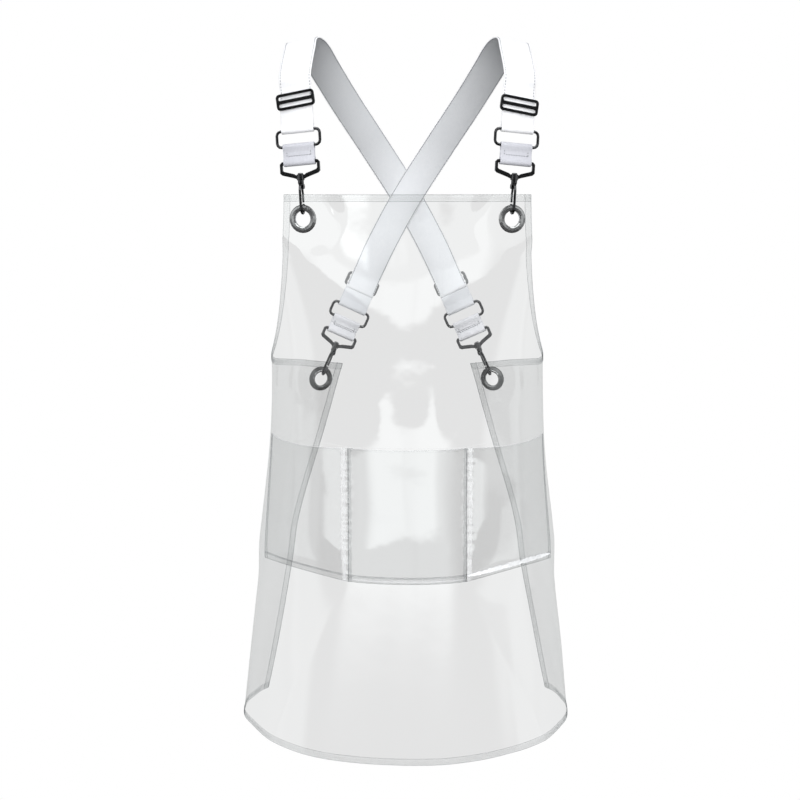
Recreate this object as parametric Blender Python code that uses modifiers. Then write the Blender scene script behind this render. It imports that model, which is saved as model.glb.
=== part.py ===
"""Clear cross-back salon apron with clip-on shoulder straps.

Metres, +Z up.  The wearer's front faces -Y and their left hand side is +X.
The origin lies between the two shoulders, at the height where the straps
rest on them, and the apron hangs below it.
"""

import math

import bmesh
import bpy
import numpy as np
from mathutils import Matrix, Vector

# ---------------------------------------------------------------- wearer
# Half width, front depth and back depth of the worn shape at each height, and
# how sharply its front falls away from a flat centre towards the sides.
BODY_HEIGHTS = (-0.10, -0.18, -0.28, -0.37, -0.47, -0.62, -0.835)
BODY_HALF_WIDTH = (0.184, 0.178, 0.168, 0.166, 0.170, 0.188, 0.213)
BODY_FRONT = (0.091, 0.095, 0.102, 0.103, 0.107, 0.125, 0.153)
BODY_FRONT_FALL = (0.40, 0.40, 0.70, 1.20, 1.60, 1.70, 1.30)
BODY_BACK = (0.094, 0.098, 0.100, 0.100, 0.105, 0.120, 0.147)
BODY_SQUARENESS = 2.3

# ------------------------------------------------------- film panel pattern
# Pattern places are (a, z): a is the distance round the body from the front
# centre line, z is the height.
FILM = 0.0005
BIB_TOP = -0.1765
BIB_HALF_WIDTH = 0.1415
ARMHOLE_PULL = ((0.1436, -0.286), (0.1712, -0.366))
UNDERARM_A = 0.2408
UNDERARM_Z = -0.380
BACK_CORNER_A = 0.3467
BACK_CORNER_Z = -0.396
HEM_Z = -0.835
HEM_HALF_WIDTH = 0.3670
BACK_EDGE_HOLLOW = 0.021
PANEL_COLUMNS = {"bib": 9, "armhole": 12, "waist": 7}
PANEL_ROWS = 14
ROW_CROWDING = 1.5

# ------------------------------------------------------------------ pocket
POCKET_TOP = -0.467
POCKET_BOTTOM = -0.623
POCKET_SIDE_TOP_A = 0.203
POCKET_SIDE_BOTTOM_A = 0.216
POCKET_DIVIDER_A = 0.070
POCKET_BULGE = (0.012, 0.008, 0.012)
POCKET_FLATNESS = 6
POCKET_CELLS = 9
POCKET_ROWS = 7
SEAM_GAP = 0.0012

# ---------------------------------------------------------------- grommets
FRONT_GROMMET = (0.1193, -0.2035)
BACK_GROMMET = (0.3170, -0.414)
GROMMET_OUTER = 0.016
GROMMET_BORE = 0.00925
BARREL_OUTER = 0.0102
PANEL_HOLE = 0.0106
FLAT_RADIUS = 0.030
FLAT_FADE = 0.020

# ------------------------------------- hardware stack, up from the grommet
WEBBING_WIDTH = 0.038
WEBBING = 0.0014
HOOK_BOW_HEIGHT = 0.0122
HOOK_BOW_RADIUS = 0.006
HOOK_WIRE = 0.0015
GATE_PIVOT = (-0.0034, 0.0372)
BOSS_BOTTOM = 0.0440
BOSS_TOP = 0.0500
FRAME_BAR = 0.0640
RING_LOW = 0.0825
RING_HIGH = 0.1005
RING_WIRE = 0.0017
STRAP_JOIN = 0.1220
SLIDER_HEIGHT = 0.1340
FRONT_SLIDER = Vector((-0.1260, -0.0655, -0.0733))
BACK_SLIDER = Vector((-0.0570, 0.0985, -0.2930))
FRONT_YAW = math.radians(12)
BACK_YAW = math.radians(15)
HALF_JOIN_GAP = 0.00015

# The front sliders sit a little askew, and the left one lower on its strap.
SLIDER_TILT = math.radians(5)
LEFT_SLIDER_DROP = 0.006

CORNERS = ("front_right", "front_left", "back_right", "back_left")


# ------------------------------------------------------------------ scene
def clear_scene():
    for obj in list(bpy.data.objects):
        bpy.data.objects.remove(obj, do_unlink=True)


def new_collection(name):
    collection = bpy.data.collections.new(name)
    bpy.context.scene.collection.children.link(collection)
    return collection


def material(name, colour, roughness, metallic=0.0, alpha=1.0):
    made = bpy.data.materials.new(name)
    made.use_nodes = True
    shader = made.node_tree.nodes["Principled BSDF"]
    shader.inputs["Base Color"].default_value = (*colour, 1.0)
    shader.inputs["Roughness"].default_value = roughness
    shader.inputs["Metallic"].default_value = metallic
    shader.inputs["Alpha"].default_value = alpha
    return made


def mesh_object(name, build, collection, shade=None):
    """Object whose mesh is filled in by build(bm)."""
    bm = bmesh.new()
    build(bm)
    bmesh.ops.recalc_face_normals(bm, faces=bm.faces)
    mesh = bpy.data.meshes.new(name)
    bm.to_mesh(mesh)
    bm.free()
    obj = bpy.data.objects.new(name, mesh)
    if shade:
        mesh.materials.append(shade)
    collection.objects.link(obj)
    return obj


def solidify(obj, thickness):
    shell = obj.modifiers.new("thickness", "SOLIDIFY")
    shell.thickness = thickness
    shell.offset = 0.0
    shell.use_even_offset = True


def cut(obj, cutter):
    hole = obj.modifiers.new("cut", "BOOLEAN")
    hole.operation = "DIFFERENCE"
    hole.solver = "EXACT"
    hole.object = cutter


def join(obj, other):
    union = obj.modifiers.new("join", "BOOLEAN")
    union.operation = "UNION"
    union.solver = "EXACT"
    union.object = other


def as_tool(obj):
    """Mark an object as a helper that only shapes others."""
    obj.hide_render = True
    obj.display_type = "WIRE"
    return obj


# ------------------------------------------------------------- worn shape
def smooth_value(values, z):
    """Cubic curve through the body values listed at BODY_HEIGHTS."""
    heights = -np.array(BODY_HEIGHTS)
    values = np.array(values)
    slopes = np.gradient(values, heights)
    depth = min(max(-z, heights[0]), heights[-1])
    i = min(int(np.searchsorted(heights, depth, side="right")) - 1, len(heights) - 2)
    step = heights[i + 1] - heights[i]
    t = (depth - heights[i]) / step
    return float(
        values[i] * (1 + 2 * t) * (1 - t) ** 2
        + slopes[i] * step * t * (1 - t) ** 2
        + values[i + 1] * t * t * (3 - 2 * t)
        + slopes[i + 1] * step * t * t * (t - 1)
    )


def half_section(z, samples=361):
    """Half of the body outline, from the front centre round to the back."""
    angle = np.linspace(0.0, math.pi, samples)
    power = 2.0 / BODY_SQUARENESS
    ahead = np.abs(np.cos(angle))
    front = smooth_value(BODY_FRONT, z) * ahead ** smooth_value(BODY_FRONT_FALL, z)
    back = smooth_value(BODY_BACK, z) * ahead ** power
    x = smooth_value(BODY_HALF_WIDTH, z) * np.abs(np.sin(angle)) ** power
    y = np.where(np.cos(angle) > 0, -front, back)
    length = np.concatenate([[0.0], np.cumsum(np.hypot(np.diff(x), np.diff(y)))])
    return x, y, length


def wrap(a, z):
    """Point of the worn film for pattern place (a, z)."""
    x, y, length = half_section(z)
    px = np.interp(abs(a), length, x)
    py = np.interp(abs(a), length, y)
    return Vector((math.copysign(px, a), py, z))


def film_frame(a, z):
    """Centre, sideways tangent and outward normal of the film at (a, z)."""
    step = 0.004
    centre = wrap(a, z)
    along = (wrap(a + step, z) - wrap(a - step, z)).normalized()
    up = (wrap(a, z + step) - wrap(a, z - step)).normalized()
    normal = along.cross(up).normalized()
    return centre, along, normal


def grommet_places():
    """Pattern place of each grommet, by corner name."""
    front_a, front_z = FRONT_GROMMET
    back_a, back_z = BACK_GROMMET
    return {
        "front_right": (-front_a, front_z),
        "front_left": (front_a, front_z),
        "back_right": (-back_a, back_z),
        "back_left": (back_a, back_z),
    }


GROMMET_FRAMES = {corner: film_frame(*place) for corner, place in grommet_places().items()}


def ease(t):
    t = min(max(t, 0.0), 1.0)
    return t * t * (3 - 2 * t)


def film_point(a, z):
    """Worn film point, pressed flat where a grommet clamps it."""
    point = wrap(a, z)
    for centre, _, normal in GROMMET_FRAMES.values():
        off = point - centre
        reach = (off - normal * off.dot(normal)).length
        if reach < FLAT_RADIUS + FLAT_FADE and off.length < 2 * (FLAT_RADIUS + FLAT_FADE):
            keep = ease((reach - FLAT_RADIUS) / FLAT_FADE)
            point = point - normal * off.dot(normal) * (1 - keep)
    return point


# --------------------------------------------------------------- the film
def bezier(p0, p1, p2, p3, t):
    k = 1 - t
    return tuple(
        k ** 3 * a + 3 * k * k * t * b + 3 * k * t * t * c + t ** 3 * d
        for a, b, c, d in zip(p0, p1, p2, p3)
    )


def top_edge():
    """Pattern points along half of the upper edge, bib centre to back corner."""
    bib = PANEL_COLUMNS["bib"]
    armhole = PANEL_COLUMNS["armhole"]
    waist = PANEL_COLUMNS["waist"]
    corner = (BIB_HALF_WIDTH, BIB_TOP)
    underarm = (UNDERARM_A, UNDERARM_Z)
    points = [(BIB_HALF_WIDTH * i / bib, BIB_TOP) for i in range(bib)]
    for i in range(armhole):
        points.append(bezier(corner, *ARMHOLE_PULL, underarm, i / armhole))
    for i in range(waist + 1):
        t = i / waist
        a = UNDERARM_A + (BACK_CORNER_A - UNDERARM_A) * t
        points.append((a, UNDERARM_Z + (BACK_CORNER_Z - UNDERARM_Z) * t))
    return points


def panel_columns():
    """Upper and hem pattern ends of every column, right back to left back."""
    points = top_edge()
    run = [0.0]
    for (a0, z0), (a1, z1) in zip(points, points[1:]):
        run.append(run[-1] + math.hypot(a1 - a0, z1 - z0))
    half = [(top, HEM_HALF_WIDTH * s / run[-1]) for top, s in zip(points, run)]
    mirrored = [((-a, z), -hem) for (a, z), hem in reversed(half[1:])]
    return mirrored + half


def panel_place(column, t):
    """Pattern place on a column, from its upper end (0) to the hem (1)."""
    (a, z), hem = column
    past_underarm = max(0.0, (abs(a) - UNDERARM_A) / (BACK_CORNER_A - UNDERARM_A))
    hollow = BACK_EDGE_HOLLOW * past_underarm ** 2 * 4 * t * (1 - t) * (1.9 - 1.8 * t)
    reach = a + (hem - a) * t
    return reach - math.copysign(hollow, a), z + (HEM_Z - z) * t


def build_panel(collection, tools, shade):
    columns = panel_columns()

    def grid(bm):
        bmesh.ops.create_grid(
            bm, x_segments=len(columns) - 1, y_segments=PANEL_ROWS, size=0.5
        )
        for vert in bm.verts:
            column = columns[round((vert.co.x + 0.5) * (len(columns) - 1))]
            down = max(0.5 - vert.co.y, 0.0) ** ROW_CROWDING
            vert.co = film_point(*panel_place(column, down))

    panel = mesh_object("apron_panel", grid, collection, shade)
    solidify(panel, FILM)
    for corner in CORNERS:
        centre, _, normal = GROMMET_FRAMES[corner]
        punch = cylinder("punch_" + corner, PANEL_HOLE, -0.004, 0.004, tools, sides=28)
        punch.matrix_world = axis_frame(centre, normal)
        cut(panel, as_tool(punch))
    return panel


def cell_swell(cell, share):
    """How far a pocket cell stands off the film, from 0 at its seams to 1."""
    if cell == 1:
        return abs(math.sin(math.pi * share)) ** 0.8
    from_divider = share if cell == 2 else 1 - share
    return math.sin(math.pi * min(max(from_divider, 0.0), 1.0) ** 0.7)


def build_pocket(collection, shade):
    cells = 3 * POCKET_CELLS

    def pattern(u, h):
        """Pattern a and swell for column u in 0..3 and height h in 0..1."""
        side = POCKET_SIDE_BOTTOM_A + (POCKET_SIDE_TOP_A - POCKET_SIDE_BOTTOM_A) * h
        knots = (-side, -POCKET_DIVIDER_A, POCKET_DIVIDER_A, side)
        cell = min(int(u + 1e-6), 2)
        share = u - cell
        open_share = 1 - (1 - h) ** POCKET_FLATNESS
        bulge = POCKET_BULGE[cell] * cell_swell(cell, share) * open_share
        return knots[cell] + (knots[cell + 1] - knots[cell]) * share, bulge

    def grid(bm):
        bmesh.ops.create_grid(bm, x_segments=cells, y_segments=POCKET_ROWS, size=0.5)
        for vert in bm.verts:
            height = vert.co.y + 0.5
            a, bulge = pattern((vert.co.x + 0.5) * 3, height)
            z = POCKET_BOTTOM + (POCKET_TOP - POCKET_BOTTOM) * height
            _, _, normal = film_frame(a, z)
            vert.co = film_point(a, z) + normal * (FILM + SEAM_GAP + bulge)

    pocket = mesh_object("pocket", grid, collection, shade)
    solidify(pocket, FILM)
    return pocket


# ---------------------------------------------------------- stack geometry
def axis_frame(origin, axis):
    """Matrix at origin whose Z is axis."""
    turn = Vector((0, 0, 1)).rotation_difference(axis).to_matrix().to_4x4()
    return Matrix.Translation(origin) @ turn


def stack_frame(corner):
    """Matrix at the grommet: Z up the hardware, Y away from the wearer."""
    front = corner.startswith("front")
    mirror = -1 if corner.endswith("left") else 1
    slider = (FRONT_SLIDER if front else BACK_SLIDER).copy()
    yaw = FRONT_YAW if front else BACK_YAW
    slider.x *= mirror
    origin = GROMMET_FRAMES[corner][0]
    up = (slider - origin).normalized()
    ahead = -1 if front else 1
    outward = Vector((-mirror * math.sin(yaw), ahead * math.cos(yaw), 0))
    outward = (outward - up * outward.dot(up)).normalized()
    side = outward.cross(up)
    turn = Matrix((side, outward, up)).transposed().to_4x4()
    return Matrix.Translation(origin) @ turn


STACKS = {corner: stack_frame(corner) for corner in CORNERS}


def cylinder(name, radius, low, high, collection, sides=20, shade=None):
    """Round bar along local Z from low to high."""

    def build(bm):
        bmesh.ops.create_cone(
            bm,
            cap_ends=True,
            segments=sides,
            radius1=radius,
            radius2=radius,
            depth=high - low,
            matrix=Matrix.Translation((0, 0, (low + high) / 2)),
        )

    return mesh_object(name, build, collection, shade)


def turned(name, profile, collection, sides, shade=None):
    """Solid of revolution about local Z from a closed (radius, z) profile."""

    def build(bm):
        verts = [bm.verts.new((r, 0, z)) for r, z in profile]
        for first, second in zip(verts, verts[1:] + verts[:1]):
            bm.edges.new((first, second))
        bmesh.ops.spin(
            bm,
            geom=bm.verts[:] + bm.edges[:],
            cent=(0, 0, 0),
            axis=(0, 0, 1),
            angle=2 * math.pi,
            steps=sides,
            use_merge=True,
        )
        bmesh.ops.remove_doubles(bm, verts=bm.verts, dist=1e-6)

    return mesh_object(name, build, collection, shade)


def wire(name, points, radius, collection, cyclic=False, resolution=2, shade=None):
    """Round wire through points, turned into a plain welded mesh."""
    data = bpy.data.curves.new(name + "_path", "CURVE")
    data.dimensions = "3D"
    data.bevel_depth = radius
    data.bevel_resolution = resolution
    data.use_fill_caps = True
    spline = data.splines.new("POLY")
    spline.points.add(len(points) - 1)
    for slot, point in zip(spline.points, points):
        slot.co = (*point, 1.0)
    spline.use_cyclic_u = cyclic
    return curve_to_mesh(name, data, collection, shade)


def plate(name, outlines, half_thickness, collection, bevel=0.0, shade=None):
    """Flat piece in local XY from closed outlines, rounded by bevel."""
    data = bpy.data.curves.new(name + "_outline", "CURVE")
    data.dimensions = "2D"
    data.fill_mode = "BOTH"
    data.extrude = half_thickness - bevel
    data.bevel_depth = bevel
    data.bevel_resolution = 0
    data.offset = -bevel
    for outline in outlines:
        spline = data.splines.new("POLY")
        spline.points.add(len(outline) - 1)
        for slot, (x, y) in zip(spline.points, outline):
            slot.co = (x, y, 0, 1)
        spline.use_cyclic_u = True
    return curve_to_mesh(name, data, collection, shade)


def curve_to_mesh(name, data, collection, shade):
    holder = bpy.data.objects.new(name + "_curve", data)
    bpy.context.scene.collection.objects.link(holder)
    bpy.context.view_layer.update()
    mesh = bpy.data.meshes.new_from_object(holder)
    mesh.name = name
    bpy.data.objects.remove(holder, do_unlink=True)
    bm = bmesh.new()
    bm.from_mesh(mesh)
    bmesh.ops.remove_doubles(bm, verts=bm.verts, dist=1e-6)
    bmesh.ops.recalc_face_normals(bm, faces=bm.faces)
    bm.to_mesh(mesh)
    bm.free()
    mesh.materials.clear()
    if shade:
        mesh.materials.append(shade)
    obj = bpy.data.objects.new(name, mesh)
    collection.objects.link(obj)
    return obj


def arc(centre, radius, start, end, steps):
    """Points on an arc; angles in degrees from +x towards +y."""
    points = []
    for i in range(steps + 1):
        angle = math.radians(start + (end - start) * i / steps)
        points.append((centre[0] + radius * math.cos(angle), centre[1] + radius * math.sin(angle)))
    return points


def rounded_rectangle(centre, width, height, radius, steps=3):
    cx, cy = centre
    dx, dy = width / 2 - radius, height / 2 - radius
    corners = ((dx, dy, 0), (-dx, dy, 90), (-dx, -dy, 180), (dx, -dy, 270))
    points = []
    for ox, oy, start in corners:
        points += arc((cx + ox, cy + oy), radius, start, start + 90, steps)
    return points


# Turns a plate drawn in (side, height) so that it stands in a stack frame,
# and one drawn in (outward, height) so that its thickness runs sideways.
STAND_FACING = Matrix(((1, 0, 0, 0), (0, 0, -1, 0), (0, 1, 0, 0), (0, 0, 0, 1)))
STAND_EDGEWISE = Matrix(((0, 0, 1, 0), (1, 0, 0, 0), (0, 1, 0, 0), (0, 0, 0, 1)))


def bake(obj, matrix):
    obj.data.transform(matrix)
    obj.data.update()
    return obj


# --------------------------------------------------------- grommet pieces
def build_grommet(corner, collection, metal):
    centre, _, normal = GROMMET_FRAMES[corner]
    face = FILM / 2 + 0.0003
    back = -(FILM / 2 + 0.0003)
    eyelet = turned(
        "eyelet_" + corner,
        (
            (GROMMET_BORE, back - 0.0018),
            (GROMMET_BORE, face + 0.0008),
            (GROMMET_BORE + 0.0012, face + 0.0016),
            (GROMMET_BORE + 0.0036, face + 0.0019),
            (GROMMET_OUTER - 0.0010, face + 0.0013),
            (GROMMET_OUTER, face),
            (BARREL_OUTER, face),
            (BARREL_OUTER, back - 0.0011),
            (BARREL_OUTER + 0.0015, back - 0.0015),
            (BARREL_OUTER + 0.0008, back - 0.0021),
        ),
        collection,
        sides=24,
        shade=metal,
    )
    washer = turned(
        "washer_" + corner,
        (
            (BARREL_OUTER + 0.0004, back),
            (GROMMET_OUTER - 0.0005, back),
            (GROMMET_OUTER - 0.0005, back - 0.0005),
            (BARREL_OUTER + 0.0020, back - 0.0009),
            (BARREL_OUTER + 0.0004, back - 0.0007),
        ),
        collection,
        sides=24,
        shade=metal,
    )
    for piece in (eyelet, washer):
        piece.matrix_world = axis_frame(centre, normal)


# ------------------------------------------------------------ hook pieces
def build_hook(corner, parent, collection, tools, metal):
    lug_y, lug_z = GATE_PIVOT
    bow = HOOK_BOW_RADIUS
    path = [(0, 0.0412), (0.0026, 0.0392), (0.0048, 0.0360), (bow, 0.0315)]
    path += arc((0, HOOK_BOW_HEIGHT), bow, 0, -180, 7)
    path += [(-bow, 0.0176)]
    hook = wire(
        "hook_" + corner, [(0, y, z) for y, z in path], HOOK_WIRE, collection, shade=metal
    )
    stem = turned(
        "stem_" + corner,
        (
            (0.0, 0.0368),
            (0.0026, 0.0380),
            (0.0034, 0.0402),
            (0.0034, BOSS_BOTTOM - 0.0004),
            (0.0019, BOSS_BOTTOM - 0.0004),
            (0.0019, BOSS_TOP + 0.0004),
            (0.0032, BOSS_TOP + 0.0004),
            (0.0029, BOSS_TOP + 0.0016),
            (0.0, BOSS_TOP + 0.0022),
        ),
        tools,
        sides=16,
    )
    lug = cylinder("lug_" + corner, 0.0030, -0.0026, 0.0026, tools, sides=16)
    bake(lug, Matrix.Translation((0, lug_y, lug_z)) @ Matrix.Rotation(math.pi / 2, 4, "Y"))
    slot = plate(
        "slot_" + corner,
        [[(-0.012, 0.0250), (-0.0013, 0.0250), (-0.0013, 0.0395), (-0.012, 0.0395)]],
        0.0013,
        tools,
    )
    bake(slot, STAND_EDGEWISE)
    drill = cylinder("drill_" + corner, 0.0009, -0.004, 0.004, tools, sides=12)
    bake(drill, Matrix.Translation((0, lug_y, lug_z)) @ Matrix.Rotation(math.pi / 2, 4, "Y"))
    join(hook, as_tool(stem))
    join(hook, as_tool(lug))
    cut(hook, as_tool(slot))
    cut(hook, as_tool(drill))
    for piece in (hook, stem, lug, slot, drill):
        piece.parent = parent


def build_gate(corner, parent, collection, tools, metal, spring_metal):
    """Sprung gate, its pin and its leaf spring; parent sits on the pivot."""
    lug_y, lug_z = GATE_PIVOT
    tip_y = -HOOK_BOW_RADIUS - lug_y
    tip_z = 0.0194 - lug_z
    gate = plate(
        "gate_" + corner,
        [
            arc((0, 0), 0.0018, 10, 170, 6)
            + [
                (-0.0022, -0.0030),
                (tip_y - 0.0008, -0.0090),
                (tip_y - 0.0008, tip_z + 0.0004),
                (tip_y - 0.0003, tip_z),
                (tip_y + 0.0009, tip_z),
                (tip_y + 0.0011, -0.0090),
                (0.0004, -0.0030),
            ],
        ],
        0.0010,
        collection,
        shade=metal,
    )
    bake(gate, STAND_EDGEWISE)
    bore = cylinder("bore_" + corner, 0.0009, -0.004, 0.004, tools, sides=12)
    bake(bore, Matrix.Rotation(math.pi / 2, 4, "Y"))
    cut(gate, as_tool(bore))
    pin = cylinder("gate_pin_" + corner, 0.0006, -0.0028, 0.0028, collection, 12, metal)
    bake(pin, Matrix.Rotation(math.pi / 2, 4, "Y"))
    leaf = [(0.0030, -0.0023), (0.0026, -0.0050), (0.0010, -0.0085), (tip_y + 0.0018, -0.0125)]
    spring = wire(
        "gate_spring_" + corner,
        [(0, y, z) for y, z in leaf],
        0.0003,
        collection,
        resolution=1,
        shade=spring_metal,
    )
    for piece in (gate, bore, pin, spring):
        piece.parent = parent


# ----------------------------------------------------- frame, tab and ring
def build_swivel_frame(corner, parent, collection, tools, metal):
    half = 0.0235
    arm = 0.0032
    bar = 0.0018
    outer = [
        (0.0042, 0.0452),
        (0.0080, 0.0468),
        (half - 0.0022, 0.0508),
        (half, 0.0530),
        (half, FRAME_BAR - 0.0008),
        (half - 0.0025, FRAME_BAR + bar),
    ]
    inner = [
        (0.0048, 0.0496),
        (0.0070, 0.0512),
        (half - arm - 0.0012, 0.0549),
        (half - arm, 0.0562),
        (half - arm, FRAME_BAR - bar),
    ]
    outlines = [points + [(-x, y) for x, y in reversed(points)] for points in (outer, inner)]
    frame = plate("swivel_frame_" + corner, outlines, 0.0017, collection, 0.0006, metal)
    bake(frame, STAND_FACING)
    boss = cylinder("boss_" + corner, 0.0044, BOSS_BOTTOM, BOSS_TOP, tools, sides=20)
    eye = cylinder("eye_" + corner, 0.0024, BOSS_BOTTOM - 0.003, BOSS_TOP + 0.003, tools, sides=16)
    join(frame, as_tool(boss))
    cut(frame, as_tool(eye))
    for piece in (frame, boss, eye):
        piece.parent = parent


def build_tab(corner, parent, collection, webbing):
    """Short webbing loop sewn round the frame's bar and the ring's low bar."""
    low_inner, high_inner = 0.0024, 0.0021
    waist = 0.0016
    steps = ((0.0033, 0.0031), (0.0062, waist + 0.0001))
    low_arc = arc((0, FRAME_BAR), low_inner + WEBBING, 180, 360, 8)
    high_arc = arc((0, RING_LOW), high_inner + WEBBING, 0, 180, 8)
    right = [(y, FRAME_BAR + z) for z, y in steps]
    right += [(y, RING_LOW - z) for z, y in reversed(steps)]
    left = [(-y, z) for y, z in reversed(right)]
    outline = low_arc + right + high_arc + left
    holes = [
        arc((0, FRAME_BAR), low_inner, 0, 330, 11),
        arc((0, RING_LOW), high_inner, 0, 330, 11),
    ]
    tab = plate("tab_" + corner, [outline] + holes, WEBBING_WIDTH / 2 - 0.0005, collection, 0, webbing)
    bake(tab, STAND_EDGEWISE).parent = parent


def build_ring(corner, parent, collection, metal):
    height = RING_HIGH - RING_LOW
    middle = (RING_LOW + RING_HIGH) / 2
    outline = rounded_rectangle((0, middle), 0.0506, height, 0.0048)
    ring = wire(
        "ring_" + corner,
        [(x, 0, z) for x, z in outline],
        RING_WIRE,
        collection,
        cyclic=True,
        shade=metal,
    )
    ring.parent = parent


def build_strap_end(corner, parent, collection, webbing):
    """Webbing folded round the ring's high bar and led back to the slider."""
    inner = RING_WIRE + 0.0003
    near = 0.00025
    closes = RING_HIGH + 0.0085
    outline = [(-near, STRAP_JOIN - HALF_JOIN_GAP), (-near, closes)]
    outline += [(y, RING_HIGH + z) for y, z in arc((0, 0), inner, 155, 385, 10)]
    outline += [(near, closes), (near, SLIDER_HEIGHT + 0.003)]
    outline += [(near + WEBBING, SLIDER_HEIGHT + 0.003), (near + WEBBING, closes)]
    outline += [(y, RING_HIGH + z) for y, z in arc((0, 0), inner + WEBBING, 385, 155, 10)]
    outline += [(-near - WEBBING, closes), (-near - WEBBING, STRAP_JOIN - HALF_JOIN_GAP)]
    loop = plate("strap_end_" + corner, [outline], WEBBING_WIDTH / 2, collection, 0, webbing)
    bake(loop, STAND_EDGEWISE).parent = parent


def build_slider(corner, parent, collection, metal):
    """Three-bar slide; parent sits at its centre."""
    outer = rounded_rectangle((0, 0), 0.0450, 0.0184, 0.0040)
    slots = [rounded_rectangle((0, side * 0.00400), 0.0390, 0.0043, 0.0016, 2) for side in (1, -1)]
    slider = plate("slider_" + corner, [outer] + slots, 0.00125, collection, 0.0005, metal)
    bake(slider, STAND_FACING).parent = parent


# ---------------------------------------------------------- shoulder straps
def strap_route(shoulder, lift):
    """Centre points and sideways directions of one strap, front to back.

    shoulder is -1 for the wearer's right.  Each entry is written for that
    side and mirrored for the other.
    """
    front = STACKS["front_right"]
    back = STACKS["back_left"]
    layer = -0.00025 - WEBBING / 2
    front_side = front.to_3x3().col[0]
    front_side = front_side if front_side.x < 0 else -front_side
    back_side = back.to_3x3().col[0]
    back_side = back_side if back_side.x < 0 else -back_side
    entries = [
        (front @ Vector((0, layer, STRAP_JOIN + HALF_JOIN_GAP)), front_side),
        (front @ Vector((0, layer, SLIDER_HEIGHT)), front_side),
        (front @ Vector((0, layer, SLIDER_HEIGHT + 0.014)), front_side),
        (front @ Vector((0, layer, SLIDER_HEIGHT + 0.030)), front_side),
        (Vector((-0.1246, -0.0330, -0.0135)), Vector((-0.975, 0.060, -0.180))),
        (Vector((-0.1230, 0.0000, 0.0007)), Vector((-0.980, -0.020, -0.190))),
        (Vector((-0.1120, 0.0330, -0.0070)), Vector((-0.950, -0.170, -0.260))),
        (Vector((-0.0975, 0.0630, -0.0310)), Vector((-0.900, -0.120, -0.420))),
        (Vector((-0.0745, 0.0850, -0.0680)), Vector((-0.850, -0.050, -0.520))),
        (Vector((-0.0400, 0.0965 + lift / 2, -0.1200)), Vector((-0.845, 0.000, -0.530))),
        (Vector((0.0000, 0.1000 + lift, -0.1820)), Vector((-0.862, 0.000, -0.507))),
        (Vector((0.0310, 0.1005 + lift / 2, -0.2380)), Vector((-0.885, 0.050, -0.465))),
        (back @ Vector((0, layer, SLIDER_HEIGHT + 0.012)), back_side),
        (back @ Vector((0, layer, SLIDER_HEIGHT)), back_side),
        (back @ Vector((0, layer, STRAP_JOIN + HALF_JOIN_GAP)), back_side),
    ]
    flip = Matrix.Diagonal((-1, 1, 1)) if shoulder > 0 else Matrix.Identity(3)
    return [(flip @ place, flip @ side) for place, side in entries]


def spline_value(values, t):
    """Catmull-Rom curve through values, t counted in intervals."""
    last = len(values) - 1
    i = min(int(t), last - 1)
    f = t - i
    p1, p2 = values[i], values[i + 1]
    p0 = values[i - 1] if i > 0 else p1 * 2 - p2
    p3 = values[i + 2] if i + 2 <= last else p2 * 2 - p1
    return (
        p1 * 2
        + (p2 - p0) * f
        + (p0 * 2 - p1 * 5 + p2 * 4 - p3) * f * f
        + (p1 * 3 - p0 - p2 * 3 + p3) * f * f * f
    ) / 2


def build_strap(name, shoulder, lift, collection, webbing):
    route = strap_route(shoulder, lift)
    places = [place for place, _ in route]
    sides = [side for _, side in route]
    across = 2
    along = (len(route) - 1) * 3

    def grid(bm):
        bmesh.ops.create_grid(bm, x_segments=across, y_segments=along, size=0.5)
        for vert in bm.verts:
            t = (vert.co.y + 0.5) * (len(route) - 1)
            share = vert.co.x
            centre = spline_value(places, t)
            tangent = spline_value(places, min(t + 0.02, len(route) - 1)) - spline_value(
                places, max(t - 0.02, 0)
            )
            tangent.normalize()
            side = spline_value(sides, t)
            side = (side - tangent * side.dot(tangent)).normalized()
            vert.co = centre + side * (WEBBING_WIDTH * share)

    strap = mesh_object(name, grid, collection, webbing)
    solidify(strap, WEBBING)
    return strap


# ------------------------------------------------------------------- build
def empty(name, matrix, collection):
    obj = bpy.data.objects.new(name, None)
    obj.empty_display_size = 0.01
    collection.objects.link(obj)
    obj.matrix_world = matrix
    return obj


def build_corner(corner, collection, tools, shades):
    stack = STACKS[corner]
    base = empty("stack_" + corner, stack, collection)
    build_grommet(corner, collection, shades["eyelet"])
    build_hook(corner, base, collection, tools, shades["gunmetal"])
    pivot = stack @ Matrix.Translation((0, *GATE_PIVOT))
    gate_base = empty("gate_pivot_" + corner, pivot, collection)
    build_gate(corner, gate_base, collection, tools, shades["gunmetal"], shades["spring"])
    build_swivel_frame(corner, base, collection, tools, shades["gunmetal"])
    build_tab(corner, base, collection, shades["webbing"])
    build_ring(corner, base, collection, shades["gunmetal"])
    build_strap_end(corner, base, collection, shades["webbing"])
    drop = LEFT_SLIDER_DROP if corner == "front_left" else 0.0
    tilt = {"front_right": SLIDER_TILT, "front_left": -SLIDER_TILT}.get(corner, 0.0)
    slide = stack @ Matrix.Translation((0, 0.0033, SLIDER_HEIGHT - drop))
    slide = slide @ Matrix.Rotation(tilt, 4, "Y")
    slider_base = empty("slider_centre_" + corner, slide, collection)
    build_slider(corner, slider_base, collection, shades["gunmetal"])


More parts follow.
